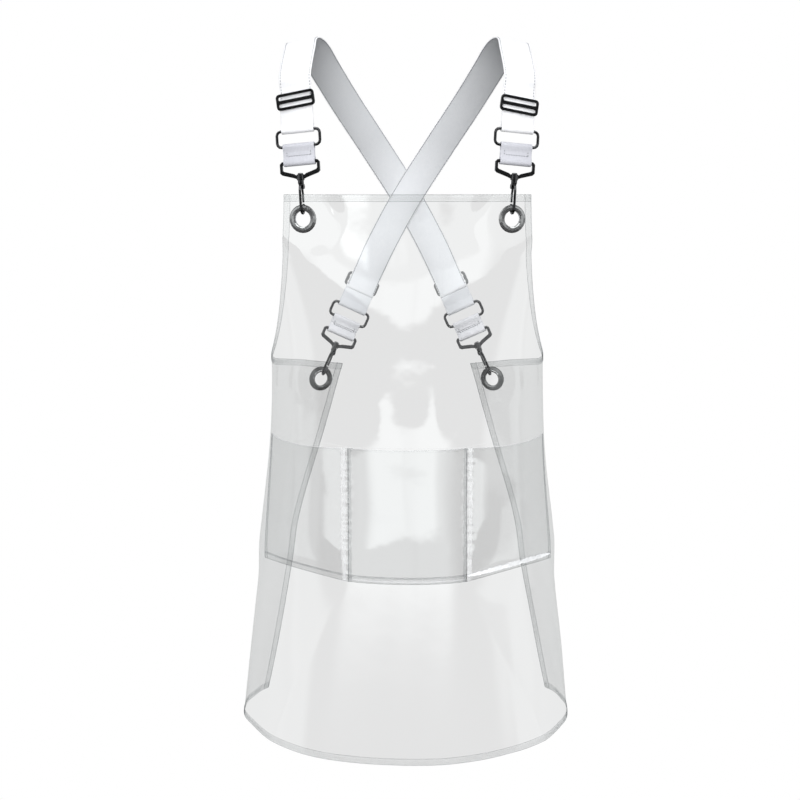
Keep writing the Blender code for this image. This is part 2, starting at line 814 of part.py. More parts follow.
def main():
    clear_scene()
    collection = new_collection("clear_cross_back_apron")
    tools = new_collection("cutters")
    shades = {
        "film": material("clear_film", (0.93, 0.94, 0.95), 0.08, alpha=0.3),
        "webbing": material("webbing", (0.86, 0.87, 0.90), 0.75),
        "gunmetal": material("gunmetal", (0.06, 0.06, 0.065), 0.28, 1.0),
        "eyelet": material("eyelet_metal", (0.22, 0.22, 0.23), 0.25, 1.0),
        "spring": material("spring_steel", (0.45, 0.45, 0.46), 0.35, 1.0),
    }
    build_panel(collection, tools, shades["film"])
    build_pocket(collection, shades["film"])
    build_strap("strap_right_shoulder", -1, 0.0014, collection, shades["webbing"])
    build_strap("strap_left_shoulder", 1, -0.0014, collection, shades["webbing"])
    for corner in CORNERS:
        build_corner(corner, collection, tools, shades)
    bpy.context.view_layer.update()


main()
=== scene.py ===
"""Looks of the clear cross-back salon apron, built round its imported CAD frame.

Metres, the row frame: wearer's front towards -Y, origin between the shoulders.
"""

import math

import bmesh
import bpy
import numpy as np
from mathutils import Matrix, Vector


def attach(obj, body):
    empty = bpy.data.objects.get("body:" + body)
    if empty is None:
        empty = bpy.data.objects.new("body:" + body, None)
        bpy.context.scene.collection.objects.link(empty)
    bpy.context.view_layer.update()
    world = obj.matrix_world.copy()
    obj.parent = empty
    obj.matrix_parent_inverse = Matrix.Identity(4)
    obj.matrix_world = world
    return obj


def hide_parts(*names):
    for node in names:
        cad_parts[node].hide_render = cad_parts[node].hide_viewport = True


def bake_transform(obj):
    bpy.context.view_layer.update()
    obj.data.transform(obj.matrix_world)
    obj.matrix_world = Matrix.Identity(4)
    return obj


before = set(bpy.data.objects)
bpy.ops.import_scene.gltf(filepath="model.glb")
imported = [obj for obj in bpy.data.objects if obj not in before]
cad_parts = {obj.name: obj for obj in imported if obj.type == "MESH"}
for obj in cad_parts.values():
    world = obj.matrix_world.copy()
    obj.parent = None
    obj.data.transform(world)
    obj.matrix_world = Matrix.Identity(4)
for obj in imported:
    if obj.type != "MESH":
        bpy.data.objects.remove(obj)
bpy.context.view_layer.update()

CORNERS = ("front_right", "front_left", "back_right", "back_left")

# ---- worn shape, as in the CAD
BODY_HEIGHTS = (-0.10, -0.18, -0.28, -0.37, -0.47, -0.62, -0.835)
BODY_HALF_WIDTH = (0.184, 0.178, 0.168, 0.166, 0.170, 0.188, 0.213)
BODY_FRONT = (0.091, 0.095, 0.102, 0.103, 0.107, 0.125, 0.153)
BODY_FRONT_FALL = (0.40, 0.40, 0.70, 1.20, 1.60, 1.70, 1.30)
BODY_BACK = (0.094, 0.098, 0.100, 0.100, 0.105, 0.120, 0.147)
BODY_SQUARENESS = 2.3

# Pattern places are (a, z): a is the distance round from the front centre.
BIB_TOP = -0.1765
BIB_HALF_WIDTH = 0.1415
UNDERARM = (0.2408, -0.380)
ARMHOLE_PULL = ((0.1436, -0.286), (0.1712, -0.366))
BACK_CORNER = (0.3467, -0.396)
HEM_Z = -0.835
HEM_HALF_WIDTH = 0.3670
BACK_EDGE_HOLLOW = 0.021
POCKET_TOP = -0.467
POCKET_BOTTOM = -0.623
POCKET_SIDE_TOP_A = 0.203
POCKET_SIDE_BOTTOM_A = 0.216
POCKET_DIVIDER_A = 0.070
POCKET_BULGE = (0.012, 0.008, 0.012)
POCKET_FLATNESS = 6
POCKET_HEM = 0.0065
POCKET_LIFT = 0.0010
POCKET_WIDTH = 0.43
SEAM_ARCH = 0.0046
POCKET_HEIGHT = POCKET_TOP - POCKET_BOTTOM
CELL_WIDTH = 2 * POCKET_DIVIDER_A
HEM_WIDTH = 0.0075

FRONT_GROMMET = (0.1193, -0.2035)
BACK_GROMMET = (0.3170, -0.414)
PANEL_HOLE = 0.0106
HOLE_DEPTH = 0.003
PANEL_SIZE = (0.74, 0.66)
FLAT_RADIUS = 0.030
FLAT_FADE = 0.020

# ---- hardware stack, as in the CAD
WEBBING_WIDTH = 0.038
WEBBING = 0.0014
FRAME_BAR = 0.0640
RING_LOW = 0.0825
RING_HIGH = 0.1005
RING_WIRE = 0.0017
STRAP_JOIN = 0.1220
SLIDER_HEIGHT = 0.1340
FRONT_SLIDER = Vector((-0.1260, -0.0655, -0.0733))
BACK_SLIDER = Vector((-0.0570, 0.0985, -0.2930))
FRONT_YAW = math.radians(12)
BACK_YAW = math.radians(15)
LAYER_GAP = 0.00025
LAYER = -LAYER_GAP - WEBBING / 2

# ---- worn film
TABLE_TOP = -0.160
TABLE_FOOT = -0.845
TABLE_REACH = 0.40
TABLE_STEP = 0.002

# Upright creases at the waist: place a, width, lower end, z of the fullest part, height.
# Each swells from its lower end to its fullest part and dies away slowly above.
WAIST_FOLDS = (
    (-0.047, 0.008, -0.452, -0.400, 0.00060),
    (-0.026, 0.010, -0.462, -0.392, -0.00095),
    (0.006, 0.014, -0.450, -0.395, 0.00055),
    (0.029, 0.005, -0.455, -0.385, -0.00075),
    (0.044, 0.010, -0.468, -0.360, 0.00115),
    (0.064, 0.009, -0.465, -0.380, -0.00090),
)


def running(steps):
    """Running total of steps, from 0."""
    return np.concatenate([[0.0], np.cumsum(steps)])


def smooth_value(values, z):
    """Cubic curve through the body values listed at BODY_HEIGHTS."""
    heights = -np.array(BODY_HEIGHTS)
    values = np.array(values)
    slopes = np.gradient(values, heights)
    depth = min(max(-z, heights[0]), heights[-1])
    i = min(int(np.searchsorted(heights, depth, side="right")) - 1, len(heights) - 2)
    step = heights[i + 1] - heights[i]
    t = (depth - heights[i]) / step
    return float(
        values[i] * (1 + 2 * t) * (1 - t) ** 2
        + slopes[i] * step * t * (1 - t) ** 2
        + values[i + 1] * t * t * (3 - 2 * t)
        + slopes[i + 1] * step * t * t * (t - 1)
    )


def half_section(z):
    """Half of the body outline, from the front centre round to the back."""
    angle = np.linspace(0.0, math.pi, 721)
    power = 2.0 / BODY_SQUARENESS
    ahead = np.abs(np.cos(angle))
    front = smooth_value(BODY_FRONT, z) * ahead ** smooth_value(BODY_FRONT_FALL, z)
    back = smooth_value(BODY_BACK, z) * ahead ** power
    x = smooth_value(BODY_HALF_WIDTH, z) * np.abs(np.sin(angle)) ** power
    y = np.where(np.cos(angle) > 0, -front, back)
    return x, y, running(np.hypot(np.diff(x), np.diff(y)))


def shape_table():
    """x and y of the worn film on an even grid of height and reach."""
    reach = np.arange(0.0, TABLE_REACH, TABLE_STEP)
    rows = []
    for z in np.arange(TABLE_TOP, TABLE_FOOT, -TABLE_STEP):
        x, y, length = half_section(z)
        rows.append(np.stack([np.interp(reach, length, x), np.interp(reach, length, y)], axis=-1))
    return np.array(rows)


SHAPE = shape_table()


def wrap(a, z):
    """Points of the worn film for arrays of pattern places (a, z)."""
    a, z = np.broadcast_arrays(np.asarray(a, float), np.asarray(z, float))
    row = np.clip((TABLE_TOP - z) / TABLE_STEP, 0, SHAPE.shape[0] - 1.001)
    column = np.clip(np.abs(a) / TABLE_STEP, 0, SHAPE.shape[1] - 1.001)
    i, j = row.astype(int), column.astype(int)
    down, out = (row - i)[..., None], (column - j)[..., None]
    upper = SHAPE[i, j] * (1 - out) + SHAPE[i, j + 1] * out
    lower = SHAPE[i + 1, j] * (1 - out) + SHAPE[i + 1, j + 1] * out
    xy = upper * (1 - down) + lower * down
    return np.stack([np.copysign(xy[..., 0], a), xy[..., 1], z], axis=-1)


def unit(vectors):
    return vectors / np.linalg.norm(vectors, axis=-1, keepdims=True)


def film_frame(a, z):
    """Centre and outward normal of the film at (a, z)."""
    a, z, step = np.asarray(a), np.asarray(z), 0.004
    along = unit(wrap(a + step, z) - wrap(a - step, z))
    up = unit(wrap(a, z + step) - wrap(a, z - step))
    return wrap(a, z), unit(np.cross(along, up))


def grommet_place(corner):
    a, z = FRONT_GROMMET if corner.startswith("front") else BACK_GROMMET
    return (a, z) if corner.endswith("left") else (-a, z)


GROMMET_FRAMES = {corner: film_frame(*grommet_place(corner)) for corner in CORNERS}


def ease(t):
    t = np.clip(t, 0.0, 1.0)
    return t * t * (3 - 2 * t)


def ripple(a, z):
    """Height of the soft waves and creases in the worn film at (a, z).

    broad, folds and cross are waves of falling length; calm quiets broad and cross on the
    bib's middle. creases are WAIST_FOLDS, tug the pull above each divider of the pocket, flare
    the skirt falling away outside two slanting lines, and ridge the fold beside the one on the
    wearer's left.
    """
    lower = ease((-z - 0.35) / 0.30)
    side = ease((np.abs(a) - 0.11) / 0.10)
    calm = 1 - 0.9 * np.exp(-(((z + 0.380) / 0.085) ** 4) - (a / 0.095) ** 4)
    wander = 1.1 * np.sin(9.0 * z + 0.6) * (1 - 0.8 * lower)
    broad = np.sin(38 * a + wander + 0.4) * calm
    folds = np.sin(105 * a + 2.2 * np.sin(7.5 * z + 1.9) + 2.3 * np.sin(19 * a))
    cross = np.sin(27 * z + 13 * a + 0.8) * np.sin(21 * a + 4.4 * z + 1.7) * calm
    creases = sum(
        height
        * np.exp(-(((a - place) / width) ** 2))
        * ease((z - foot) / (head - foot))
        * (1 - ease((z - head) / 0.25))
        for place, width, foot, head, height in WAIST_FOLDS
    )
    above = ease((z + 0.475) / 0.03) * (1 - ease((z + 0.36) / 0.06))
    tug = np.exp(-(((np.abs(a) - 0.071 + 0.05 * (z + 0.467)) / 0.0055) ** 2)) * above
    below = ease((-0.600 - z) / 0.06)
    line = np.abs(a) - 0.068 - 0.56 * (-0.623 - z)
    flare = -(1 - np.exp(-np.maximum(line, 0) / 0.030)) * below
    ridge = np.exp(-(((a - 0.128 - 0.10 * (-0.65 - z)) / 0.010) ** 2)) * below
    return (
        0.0011 * broad * (0.5 + 0.5 * lower)
        + 0.00045 * folds * (0.25 + side)
        + 0.0006 * cross * (1 - 0.9 * lower)
        + creases
        + 0.0010 * tug
        + 0.0040 * flare
        + 0.0006 * ridge
    )


def film_point(a, z, lift=0.0):
    """Worn film points with their ripples, pressed flat where a grommet clamps."""
    a, z = np.broadcast_arrays(np.asarray(a, float), np.asarray(z, float))
    point, outward = film_frame(a, z)
    calm = np.ones(a.shape)
    for centre, normal in GROMMET_FRAMES.values():
        off = point - centre
        rise = off @ normal
        reach = np.linalg.norm(off - rise[..., None] * normal, axis=-1)
        near = np.linalg.norm(off, axis=-1) < 2 * (FLAT_RADIUS + FLAT_FADE)
        keep = np.where(near, ease((reach - FLAT_RADIUS) / FLAT_FADE), 1.0)
        point = point - normal * (rise * (1 - keep))[..., None]
        calm = np.minimum(calm, keep)
    return point + outward * (ripple(a, z) * calm + lift)[..., None]


# ---- meshes
def link(name, data):
    obj = bpy.data.objects.new(name, data)
    bpy.context.scene.collection.objects.link(obj)
    return obj


def smoothed(mesh):
    mesh.polygons.foreach_set("use_smooth", [True] * len(mesh.polygons))
    return mesh


def finish_bmesh(name, bm):
    mesh = bpy.data.meshes.new(name)
    bm.to_mesh(mesh)
    bm.free()
    return mesh


def sheet_mesh(name, points, size):
    """Quad sheet from an array of points[row, column]; size is its UV extent."""
    rows, columns = points.shape[0] - 1, points.shape[1] - 1
    wide = columns + 1
    faces = [
        (j * wide + i, (j + 1) * wide + i, (j + 1) * wide + i + 1, j * wide + i + 1)
        for j in range(rows)
        for i in range(columns)
    ]
    mesh = bpy.data.meshes.new(name)
    mesh.from_pydata(points.reshape(-1, 3).tolist(), [], faces)
    uv = mesh.uv_layers.new(name="UVMap")
    for loop in mesh.loops:
        j, i = divmod(loop.vertex_index, wide)
        uv.data[loop.index].uv = (i / columns * size[0], j / rows * size[1])
    return link(name, smoothed(mesh))


def dress(obj, material, body):
    obj.data.materials.append(material)
    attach(obj, body)
    return obj


def tube(route, radius):
    """Four-sided wire along a list of points, as a plain mesh."""
    data = bpy.data.curves.new("wire", "CURVE")
    data.dimensions = "3D"
    data.bevel_depth = radius
    data.bevel_resolution = 0
    data.use_fill_caps = True
    spline = data.splines.new("POLY")
    spline.points.add(len(route) - 1)
    for slot, point in zip(spline.points, route):
        slot.co = (*point, 1.0)
    holder = link("wire_curve", data)
    bpy.context.view_layer.update()
    mesh = bpy.data.meshes.new_from_object(holder)
    bpy.data.objects.remove(holder, do_unlink=True)
    return link("wire", smoothed(mesh))


def merge(name, objects):
    """One object from several, keeping each one's vertices and UVs."""
    bm = bmesh.new()
    for obj in objects:
        bm.from_mesh(obj.data)
        bpy.data.objects.remove(obj, do_unlink=True)
    return link(name, smoothed(finish_bmesh(name, bm)))


def trim(name, parts, material):
    """One dressed piece of the apron from several parts."""
    return dress(merge(name, parts), material, "apron")


# ---- materials
class Nodes:
    """Short hand for building a node tree."""

    def __init__(self, tree):
        self.tree = tree

    def add(self, kind, **settings):
        node = self.tree.nodes.new(kind)
        for key, value in settings.items():
            if hasattr(node, key):
                setattr(node, key, value)
            else:
                node.inputs[key.replace("_", " ")].default_value = value
        return node

    def link(self, source, target):
        self.tree.links.new(source, target)

    def math(self, operation, *values):
        node = self.add("ShaderNodeMath", operation=operation)
        for socket, value in zip(node.inputs, values):
            if isinstance(value, (int, float)):
                socket.default_value = value
            else:
                self.link(value, socket)
        return node.outputs[0]

    def split(self, vector):
        node = self.add("ShaderNodeSeparateXYZ")
        self.link(vector, node.inputs[0])
        return node.outputs

    def map_range(self, value, **settings):
        node = self.add("ShaderNodeMapRange", **settings)
        self.link(value, node.inputs["Value"])
        return node.outputs["Result"]

    def mix(self, share, first, second):
        """Shader that goes from first to second as share grows from 0 to 1."""
        node = self.add("ShaderNodeMixShader")
        for socket, source in zip(node.inputs, (share, first, second)):
            self.link(source, socket)
        return node.outputs[0]

    def by_ray(self, kind, match, other):
        """One shader for rays of a kind and another for the rest."""
        return self.mix(self.add("ShaderNodeLightPath").outputs[kind], other, match)

    def clear(self, tint):
        return self.add("ShaderNodeBsdfTransparent", Color=(*tint, 1)).outputs[0]


class Surface(Nodes):
    """Node tree of a new material round its Principled shader."""

    def __init__(self, name):
        self.material = bpy.data.materials.new(name)
        self.material.use_nodes = True
        super().__init__(self.material.node_tree)
        self.principled = self.tree.nodes["Principled BSDF"]
        self.solid = self.principled.outputs[0]

    def texture(self, kind, source="Object", **settings):
        node = self.add(kind, **settings)
        self.link(self.add("ShaderNodeTexCoord").outputs[source], node.inputs["Vector"])
        return node.outputs["Fac"]

    def feed(self, source, socket):
        self.link(source, self.principled.inputs[socket])

    def show(self, shader):
        self.link(shader, self.tree.nodes["Material Output"].inputs["Surface"])

    def ramp(self, factor, stops):
        node = self.add("ShaderNodeValToRGB")
        elements = node.color_ramp.elements
        while len(elements) < len(stops):
            elements.new(0.5)
        for element, (place, colour) in zip(elements, stops):
            element.position = place
            element.color = (*colour, 1.0)
        self.link(factor, node.inputs[0])
        return node.outputs[0]

    def bump(self, height, strength, distance):
        node = self.add("ShaderNodeBump", Strength=strength, Distance=distance)
        self.link(height, node.inputs["Height"])
        self.feed(node.outputs[0], "Normal")

    def set(self, **values):
        for key, value in values.items():
            self.principled.inputs[key.replace("_", " ")].default_value = value


# Heights between which the skirt's gloss falls off, how steeply the film's mirror share
# grows where it's seen edge on, and what lamps see of it.
GLOSS_FALLS = (-0.585, -0.66)
EDGE_BLEND, EDGE_POWER = 0.35, 2.8
LAMP_TINT = (0.97, 0.97, 0.97)


def film_material(name, tint, cover, edge_cover, gloss=0.03, low_gloss=None):
    """Clear glossy film: see-through in a tint, with a share of mirror surface that grows
    from cover to edge_cover where it's seen edge on. Its roughness goes from gloss to
    low_gloss down the skirt. Only the camera sees all this: other rays pass through."""
    n = Surface(name)
    n.set(Base_Color=(0.93, 0.94, 0.95, 1), Roughness=gloss, Metallic=1.0)
    if low_gloss is not None:
        height = n.split(n.add("ShaderNodeTexCoord").outputs["Object"])["Z"]
        limits = dict(From_Min=GLOSS_FALLS[0], From_Max=GLOSS_FALLS[1])
        n.feed(n.map_range(height, To_Min=gloss, To_Max=low_gloss, **limits), "Roughness")
    facing = n.add("ShaderNodeLayerWeight", Blend=EDGE_BLEND).outputs["Facing"]
    share = n.math("MULTIPLY", n.math("POWER", facing, EDGE_POWER), edge_cover - cover)
    film = n.mix(n.math("ADD", share, cover), n.clear(tint), n.solid)
    n.show(n.by_ray("Is Camera Ray", film, n.clear(LAMP_TINT)))
    n.bump(n.texture("ShaderNodeTexNoise", Scale=30.0, Detail=2.0, Roughness=0.5), 0.12, 0.0010)
    return n.material


def painted_highlight_material(name, least, spread):
    """Painted highlight on the film by a seam: white, cloudy by least to least + spread."""
    n = Surface(name)
    n.set(Base_Color=(0.96, 0.97, 0.97, 1), Roughness=0.35)
    blot = n.texture("ShaderNodeTexNoise", Scale=70.0, Detail=3.0, Roughness=0.6)
    cloud = n.math("MULTIPLY_ADD", blot, spread, least)
    n.show(n.mix(cloud, n.clear((0.98, 0.98, 0.98)), n.solid))
    return n.material


# Painted shade on a strap's inner face by distance from its front end: darkest from the front end
# over the shoulder, lightening to full brightness down the back.
PAINTED_INNER_SHADE = ((0.10, 0.65), (0.17, 0.65), (0.30, 0.71), (0.42, 1.0))


def webbing_material(name, colour, dark, shaded=False):
    """Close-woven webbing with a fine rib across it; shaded multiplies in the painted shade along
    the strap, listed above.
    """
    n = Surface(name)
    bands = {"source": "UV", "wave_type": "BANDS"}
    rib = n.texture("ShaderNodeTexWave", bands_direction="Y", Scale=260.0, Distortion=0.4, **bands)
    warp = n.texture("ShaderNodeTexWave", bands_direction="X", Scale=190.0, **bands)
    weave = n.math("MULTIPLY", rib, warp)
    worn = n.add("ShaderNodeTexNoise", Scale=90.0, Detail=3.0).outputs["Fac"]
    shade = n.math("ADD", n.math("MULTIPLY", weave, 0.5), n.math("MULTIPLY", worn, 0.5))
    tone = n.ramp(shade, [(0.15, dark), (0.65, colour)])
    if shaded:
        # Painted shade by length along the strap.
        along = n.split(n.add("ShaderNodeTexCoord").outputs["UV"])["Y"]
        dim = n.ramp(along, [(place, (value,) * 3) for place, value in PAINTED_INNER_SHADE])
        shade_mix = n.add("ShaderNodeMix", data_type="RGBA", blend_type="MULTIPLY")
        shade_mix.inputs["Factor"].default_value = 1.0
        n.link(tone, shade_mix.inputs["A"])
        n.link(dim, shade_mix.inputs["B"])
        tone = shade_mix.outputs["Result"]
    n.feed(tone, "Base Color")
    n.set(Roughness=0.72)
    n.bump(weave, 0.35, 0.0004)
    return n.material


def metal_material(name, colour, roughness, metallic=1.0):
    """Plated cast metal with slight unevenness in colour, gloss and surface."""
    n = Surface(name)
    grain = n.texture("ShaderNodeTexNoise", Scale=380.0, Detail=3.0)
    dark = tuple(c * 0.8 for c in colour)
    n.feed(n.ramp(grain, [(0.3, dark), (0.7, colour)]), "Base Color")
    n.feed(n.math("ADD", n.math("MULTIPLY", grain, 0.12), roughness - 0.06), "Roughness")
    n.set(Metallic=metallic)
    n.bump(grain, 0.08, 0.0003)
    return n.material


def thread_material(name, colour):
    """Twisted sewing thread."""
    n = Surface(name)
    twist = n.texture("ShaderNodeTexWave", Scale=700.0, bands_direction="DIAGONAL")
    dark = tuple(c * 0.75 for c in colour)
    n.feed(n.ramp(twist, [(0.2, dark), (0.8, colour)]), "Base Color")
    n.set(Roughness=0.6)
    return n.material


# ---- film panel
def bezier(p0, p1, p2, p3, t):
    k = 1 - t
    return tuple(
        k ** 3 * a + 3 * k * k * t * b + 3 * k * t * t * c + t ** 3 * d
        for a, b, c, d in zip(p0, p1, p2, p3)
    )


def top_edge(bib, armhole, waist):
    """Pattern points along half of the upper edge, bib centre to back corner."""
    corner = (BIB_HALF_WIDTH, BIB_TOP)
    points = [(BIB_HALF_WIDTH * i / bib, BIB_TOP) for i in range(bib)]
    points += [bezier(corner, *ARMHOLE_PULL, UNDERARM, i / armhole) for i in range(armhole)]
    for i in range(waist + 1):
        points.append(tuple(u + (c - u) * i / waist for u, c in zip(UNDERARM, BACK_CORNER)))
    return np.array(points)


def path_length(points):
    return running(np.linalg.norm(np.diff(np.asarray(points), axis=0), axis=1))


def panel_columns():
    """Top a, top z and hem a of every column, from the right edge to the left."""
    points = top_edge(bib=40, armhole=60, waist=36)
    run = path_length(points)
    half = np.column_stack([points, HEM_HALF_WIDTH * run / run[-1]])
    return np.concatenate([half[:0:-1] * (-1, 1, -1), half])


def panel_place(columns, t):
    """Pattern places on columns, from the upper ends (0) to the hem (1)."""
    a, z, hem = columns[..., 0], columns[..., 1], columns[..., 2]
    past = np.maximum(0.0, (np.abs(a) - UNDERARM[0]) / (BACK_CORNER[0] - UNDERARM[0]))
    hollow = BACK_EDGE_HOLLOW * past ** 2 * 4 * t * (1 - t) * (1.9 - 1.8 * t)
    return a + (hem - a) * t - np.copysign(hollow, a), z + (HEM_Z - z) * t


def build_panel(material):
    columns = panel_columns()
    down = np.linspace(0.0, 1.0, 131)[:, None] ** 1.2
    a, z = panel_place(columns[None, :, :], down)
    panel = sheet_mesh("film_panel", film_point(a, z), PANEL_SIZE)
    bm = bmesh.new()
    bm.from_mesh(panel.data)
    for centre, normal in GROMMET_FRAMES.values():
        centre, normal = Vector(centre), Vector(normal)
        inside = [
            v
            for v in bm.verts
            if (v.co - centre).length < PANEL_HOLE and abs((v.co - centre).dot(normal)) < HOLE_DEPTH
        ]
        bmesh.ops.delete(bm, geom=inside, context="VERTS")
    bm.to_mesh(panel.data)
    bm.free()
    dress(panel, material, "apron")
    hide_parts("apron_panel")
    return panel


# ---- hems
def resample(points, step):
    """Points about step apart along a pattern path."""
    points = np.asarray(points)
    run = path_length(points)
    where = np.linspace(0, run[-1], max(2, round(run[-1] / step)) + 1)
    return np.column_stack([np.interp(where, run, column) for column in points.T])


def inset(points, depth):
    """Pattern path moved to its left by depth; depth may differ by point."""
    along = unit(np.gradient(points, axis=0))
    return points + np.column_stack([-along[:, 1], along[:, 0]]) * np.reshape(depth, (-1, 1))


def alternate(count, odd, even):
    """Array that steps between two values, even first, for zigzag sewing."""
    return np.where(np.arange(count) % 2, odd, even)


def mirror_path(points):
    return points[::-1] * (-1, 1)


def hem_paths():
    """Edges of the panel as pattern paths, each with the film on its left."""
    bib, armhole, waist = 20, 60, 20
    half = top_edge(bib, armhole, waist)
    down = np.linspace(0.0, 1.0, 61)
    edge = np.repeat(panel_columns()[-1:], len(down), axis=0)
    back = np.column_stack(panel_place(edge, down))
    hem_a = np.linspace(-HEM_HALF_WIDTH, HEM_HALF_WIDTH, 121)
    sides = {
        "armhole": half[bib : bib + armhole + 1][::-1],
        "waist": half[bib + armhole :][::-1],
        "back_edge": back[::-1],
    }
    paths = {"bib_top": np.concatenate([half[: bib + 1][::-1], half[1 : bib + 1] * (-1, 1)])}
    for name, path in sides.items():
        paths[name + "_left"] = path
        paths[name + "_right"] = mirror_path(path)
    paths["bottom"] = np.column_stack([hem_a, np.full_like(hem_a, HEM_Z)])
    return paths


# A hem's fold as (inset, lift), its lines, the zigzag sewn through it, and the length of
# one mesh step along the fold and along the lines.
HEM_LIFT = 0.0004
HEM_INNER = ((HEM_WIDTH, -HEM_LIFT), (0.0, -HEM_LIFT))
HEM_OUTER = ((0.0, HEM_LIFT), (HEM_WIDTH, HEM_LIFT))
HEM_FOLD = (*HEM_INNER, (-HEM_LIFT, 0.0), *HEM_OUTER)
INNER_LINE_LIFT = 0.0005
LINE_RADIUS, BACK_LINE_RADIUS = 0.0004, 0.0006
ZIGZAG_INSETS = (0.0012, HEM_WIDTH - 0.0010)
ZIGZAG_PITCH, ZIGZAG_RADIUS = 0.0027, 0.00022
FOLD_STEP, LINE_STEP = 0.004, 0.005


def hem_point(path, depth, lift):
    return film_point(*inset(path, depth).T, lift)


def build_hem(path):
    """Folded hem: film turned over the edge and laid flat on both faces."""
    path = resample(path, FOLD_STEP)
    rows = [hem_point(path, depth, lift) for depth, lift in HEM_FOLD]
    return sheet_mesh("hem", np.array(rows)[::-1], (path_length(path)[-1], 2 * HEM_WIDTH))


def zigzag(path):
    """Zigzag sewing thread on the outer face of a hem."""
    path = resample(path, ZIGZAG_PITCH / 2)
    near, far = ZIGZAG_INSETS
    depth = alternate(len(path), far, near)
    return tube(hem_point(path, depth, HEM_LIFT), ZIGZAG_RADIUS)


def build_hems(band_material, line_material, stitching):
    bands, lines, threads = [], [], []
    for name, path in hem_paths().items():
        bands.append(build_hem(path))
        radius = BACK_LINE_RADIUS if name.startswith("back") else LINE_RADIUS
        route = resample(path, LINE_STEP)
        lines.append(tube(hem_point(route, 0.0, 0.0), radius))
        lines.append(tube(hem_point(route, HEM_WIDTH, INNER_LINE_LIFT), radius - 0.0001))
        threads.append(zigzag(path))
    return [
        trim("hem_bands", bands, band_material),
        trim("hem_lines", lines, line_material),
        trim("hem_thread", threads, stitching),
    ]


# ---- pocket
def cell_swell(cell, share):
    """How far a pocket cell stands off the film, from 0 at its seams to 1."""
    centre = np.abs(np.sin(math.pi * share)) ** 0.8
    from_divider = np.clip(np.where(cell == 2, share, 1 - share), 0.0, 1.0)
    return np.where(cell == 1, centre, np.sin(math.pi * from_divider ** 0.7))


def pocket_point(u, h, lift=0.0):
    """Pocket surface: u runs over its three cells (0..3), h from seam to mouth."""
    u, h = np.broadcast_arrays(np.asarray(u, float), np.asarray(h, float))
    side = POCKET_SIDE_BOTTOM_A + (POCKET_SIDE_TOP_A - POCKET_SIDE_BOTTOM_A) * h
    divider = np.full_like(side, POCKET_DIVIDER_A)
    knots = np.stack([-side, -divider, divider, side])
    cell = np.clip(np.floor(u + 1e-6).astype(int), 0, 2)
    share = u - cell
    start = np.take_along_axis(knots, cell[None], axis=0)[0]
    end = np.take_along_axis(knots, cell[None] + 1, axis=0)[0]
    a = start + (end - start) * share
    taut = np.where(cell == 1, 0.0, np.sin(math.pi * share))
    z = POCKET_BOTTOM + POCKET_HEIGHT * h + SEAM_ARCH * taut * (1 - h)
    swell = cell_swell(cell, share) * (1 - (1 - np.clip(h, 0, 1)) ** POCKET_FLATNESS)
    from_seam = np.minimum(np.abs(a - POCKET_DIVIDER_A), np.abs(a + POCKET_DIVIDER_A))
    pucker = 0.0004 * np.exp(-((from_seam / 0.005) ** 2))
    pucker = pucker * np.sin(520 * z + 7 * a + 2 * np.sin(90 * z))
    pucker = pucker * (1 - np.exp(-((from_seam / 0.0012) ** 2)))
    wave = 0.0008 * np.sin(31 * a + 26 * z) * np.sin(17 * a - 33 * z + 1.0)
    wave = wave * np.minimum(1.0, 2 * swell)
    bulge = np.take(POCKET_BULGE, cell)
    return film_point(a, z, POCKET_LIFT + bulge * swell + pucker + wave + lift)


# How far the pocket's trims stand off it.
LOW_LINE, HIGH_LINE = 0.0004, 0.0008
BAND_LIFT = 0.0005
HIGHLIGHT_LIFT = 0.0009
SHADOW_LIFT = 0.0015
SEWING_LIFT = 0.0010
SEWING_RADIUS = 0.0003
# Widths of the mouth's hem and of a divider's fold, the distance from a divider to the
# painted highlight beside it, and the widths of the painted highlight, shadow and glare strips.
MOUTH_HEM = 0.003
DIVIDER_FOLD, HIGHLIGHT_OFFSET = 0.005, 0.0045
RIGHT_HIGHLIGHT, LEFT_HIGHLIGHT, SEAM_HIGHLIGHT, SHADOW, GLARE = 0.0046, 0.0042, 0.0012, 0.0042, 0.0050


def pocket_line(u, h, lift, radius=LINE_RADIUS):
    return tube(pocket_point(u, h, lift), radius)


def pocket_band(u0, u1, h0, h1):
    """Folded strip on the pocket between two corners of its (u, h) surface."""
    across, along = (u1 - u0) < 1.0, (h1 - h0) < 0.5
    u = np.linspace(u0, u1, 4 if across else 160)[None, :]
    h = np.linspace(h0, h1, 4 if along else 50)[:, None]
    size = (POCKET_HEM, POCKET_HEIGHT) if across else (POCKET_WIDTH, POCKET_HEM)
    return sheet_mesh("band", pocket_point(u, h, BAND_LIFT)[::-1], size)


def wavy(run, seed):
    """Uneven share between about 0.6 and 1.4 along a pinched seam; run is in mm."""
    slow = np.sin(0.35 * run + seed) * np.sin(0.11 * run + 2 * seed)
    return 1 + 0.25 * slow + 0.15 * np.sin(0.9 * run + 3 * seed)


def painted_strip(place, width, h, lift=HIGHLIGHT_LIFT):
    """Strip of uneven width up the pocket, beside a divider, for painted highlight and painted
    shadow.
    """
    half = width / 2 / CELL_WIDTH * wavy(h * 156, place)
    u = place + np.linspace(-1, 1, 4)[None, :] * half[:, None]
    return sheet_mesh("strip", pocket_point(u, h[:, None], lift)[::-1], (width, POCKET_HEIGHT))


def seam_highlight_strip(name, u0, u1, h, width):
    """Strip of painted highlight of uneven width along the bottom seam, leaning out towards its
    lower edge.
    """
    u = np.linspace(u0, u1, 140)
    end = np.sin(math.pi * (u - u0) / (u1 - u0)) ** 0.4
    half = width / 2 / POCKET_HEIGHT * wavy(u * 140, h) * end
    rise = h + np.linspace(1, -1, 4)[:, None] * half[None, :]
    lift = np.linspace(HIGHLIGHT_LIFT, 4 * HIGHLIGHT_LIFT, 4)[:, None] * np.ones_like(rise)
    size = ((u1 - u0) * CELL_WIDTH, width)
    return sheet_mesh(name, pocket_point(u[None, :], rise, lift), size)


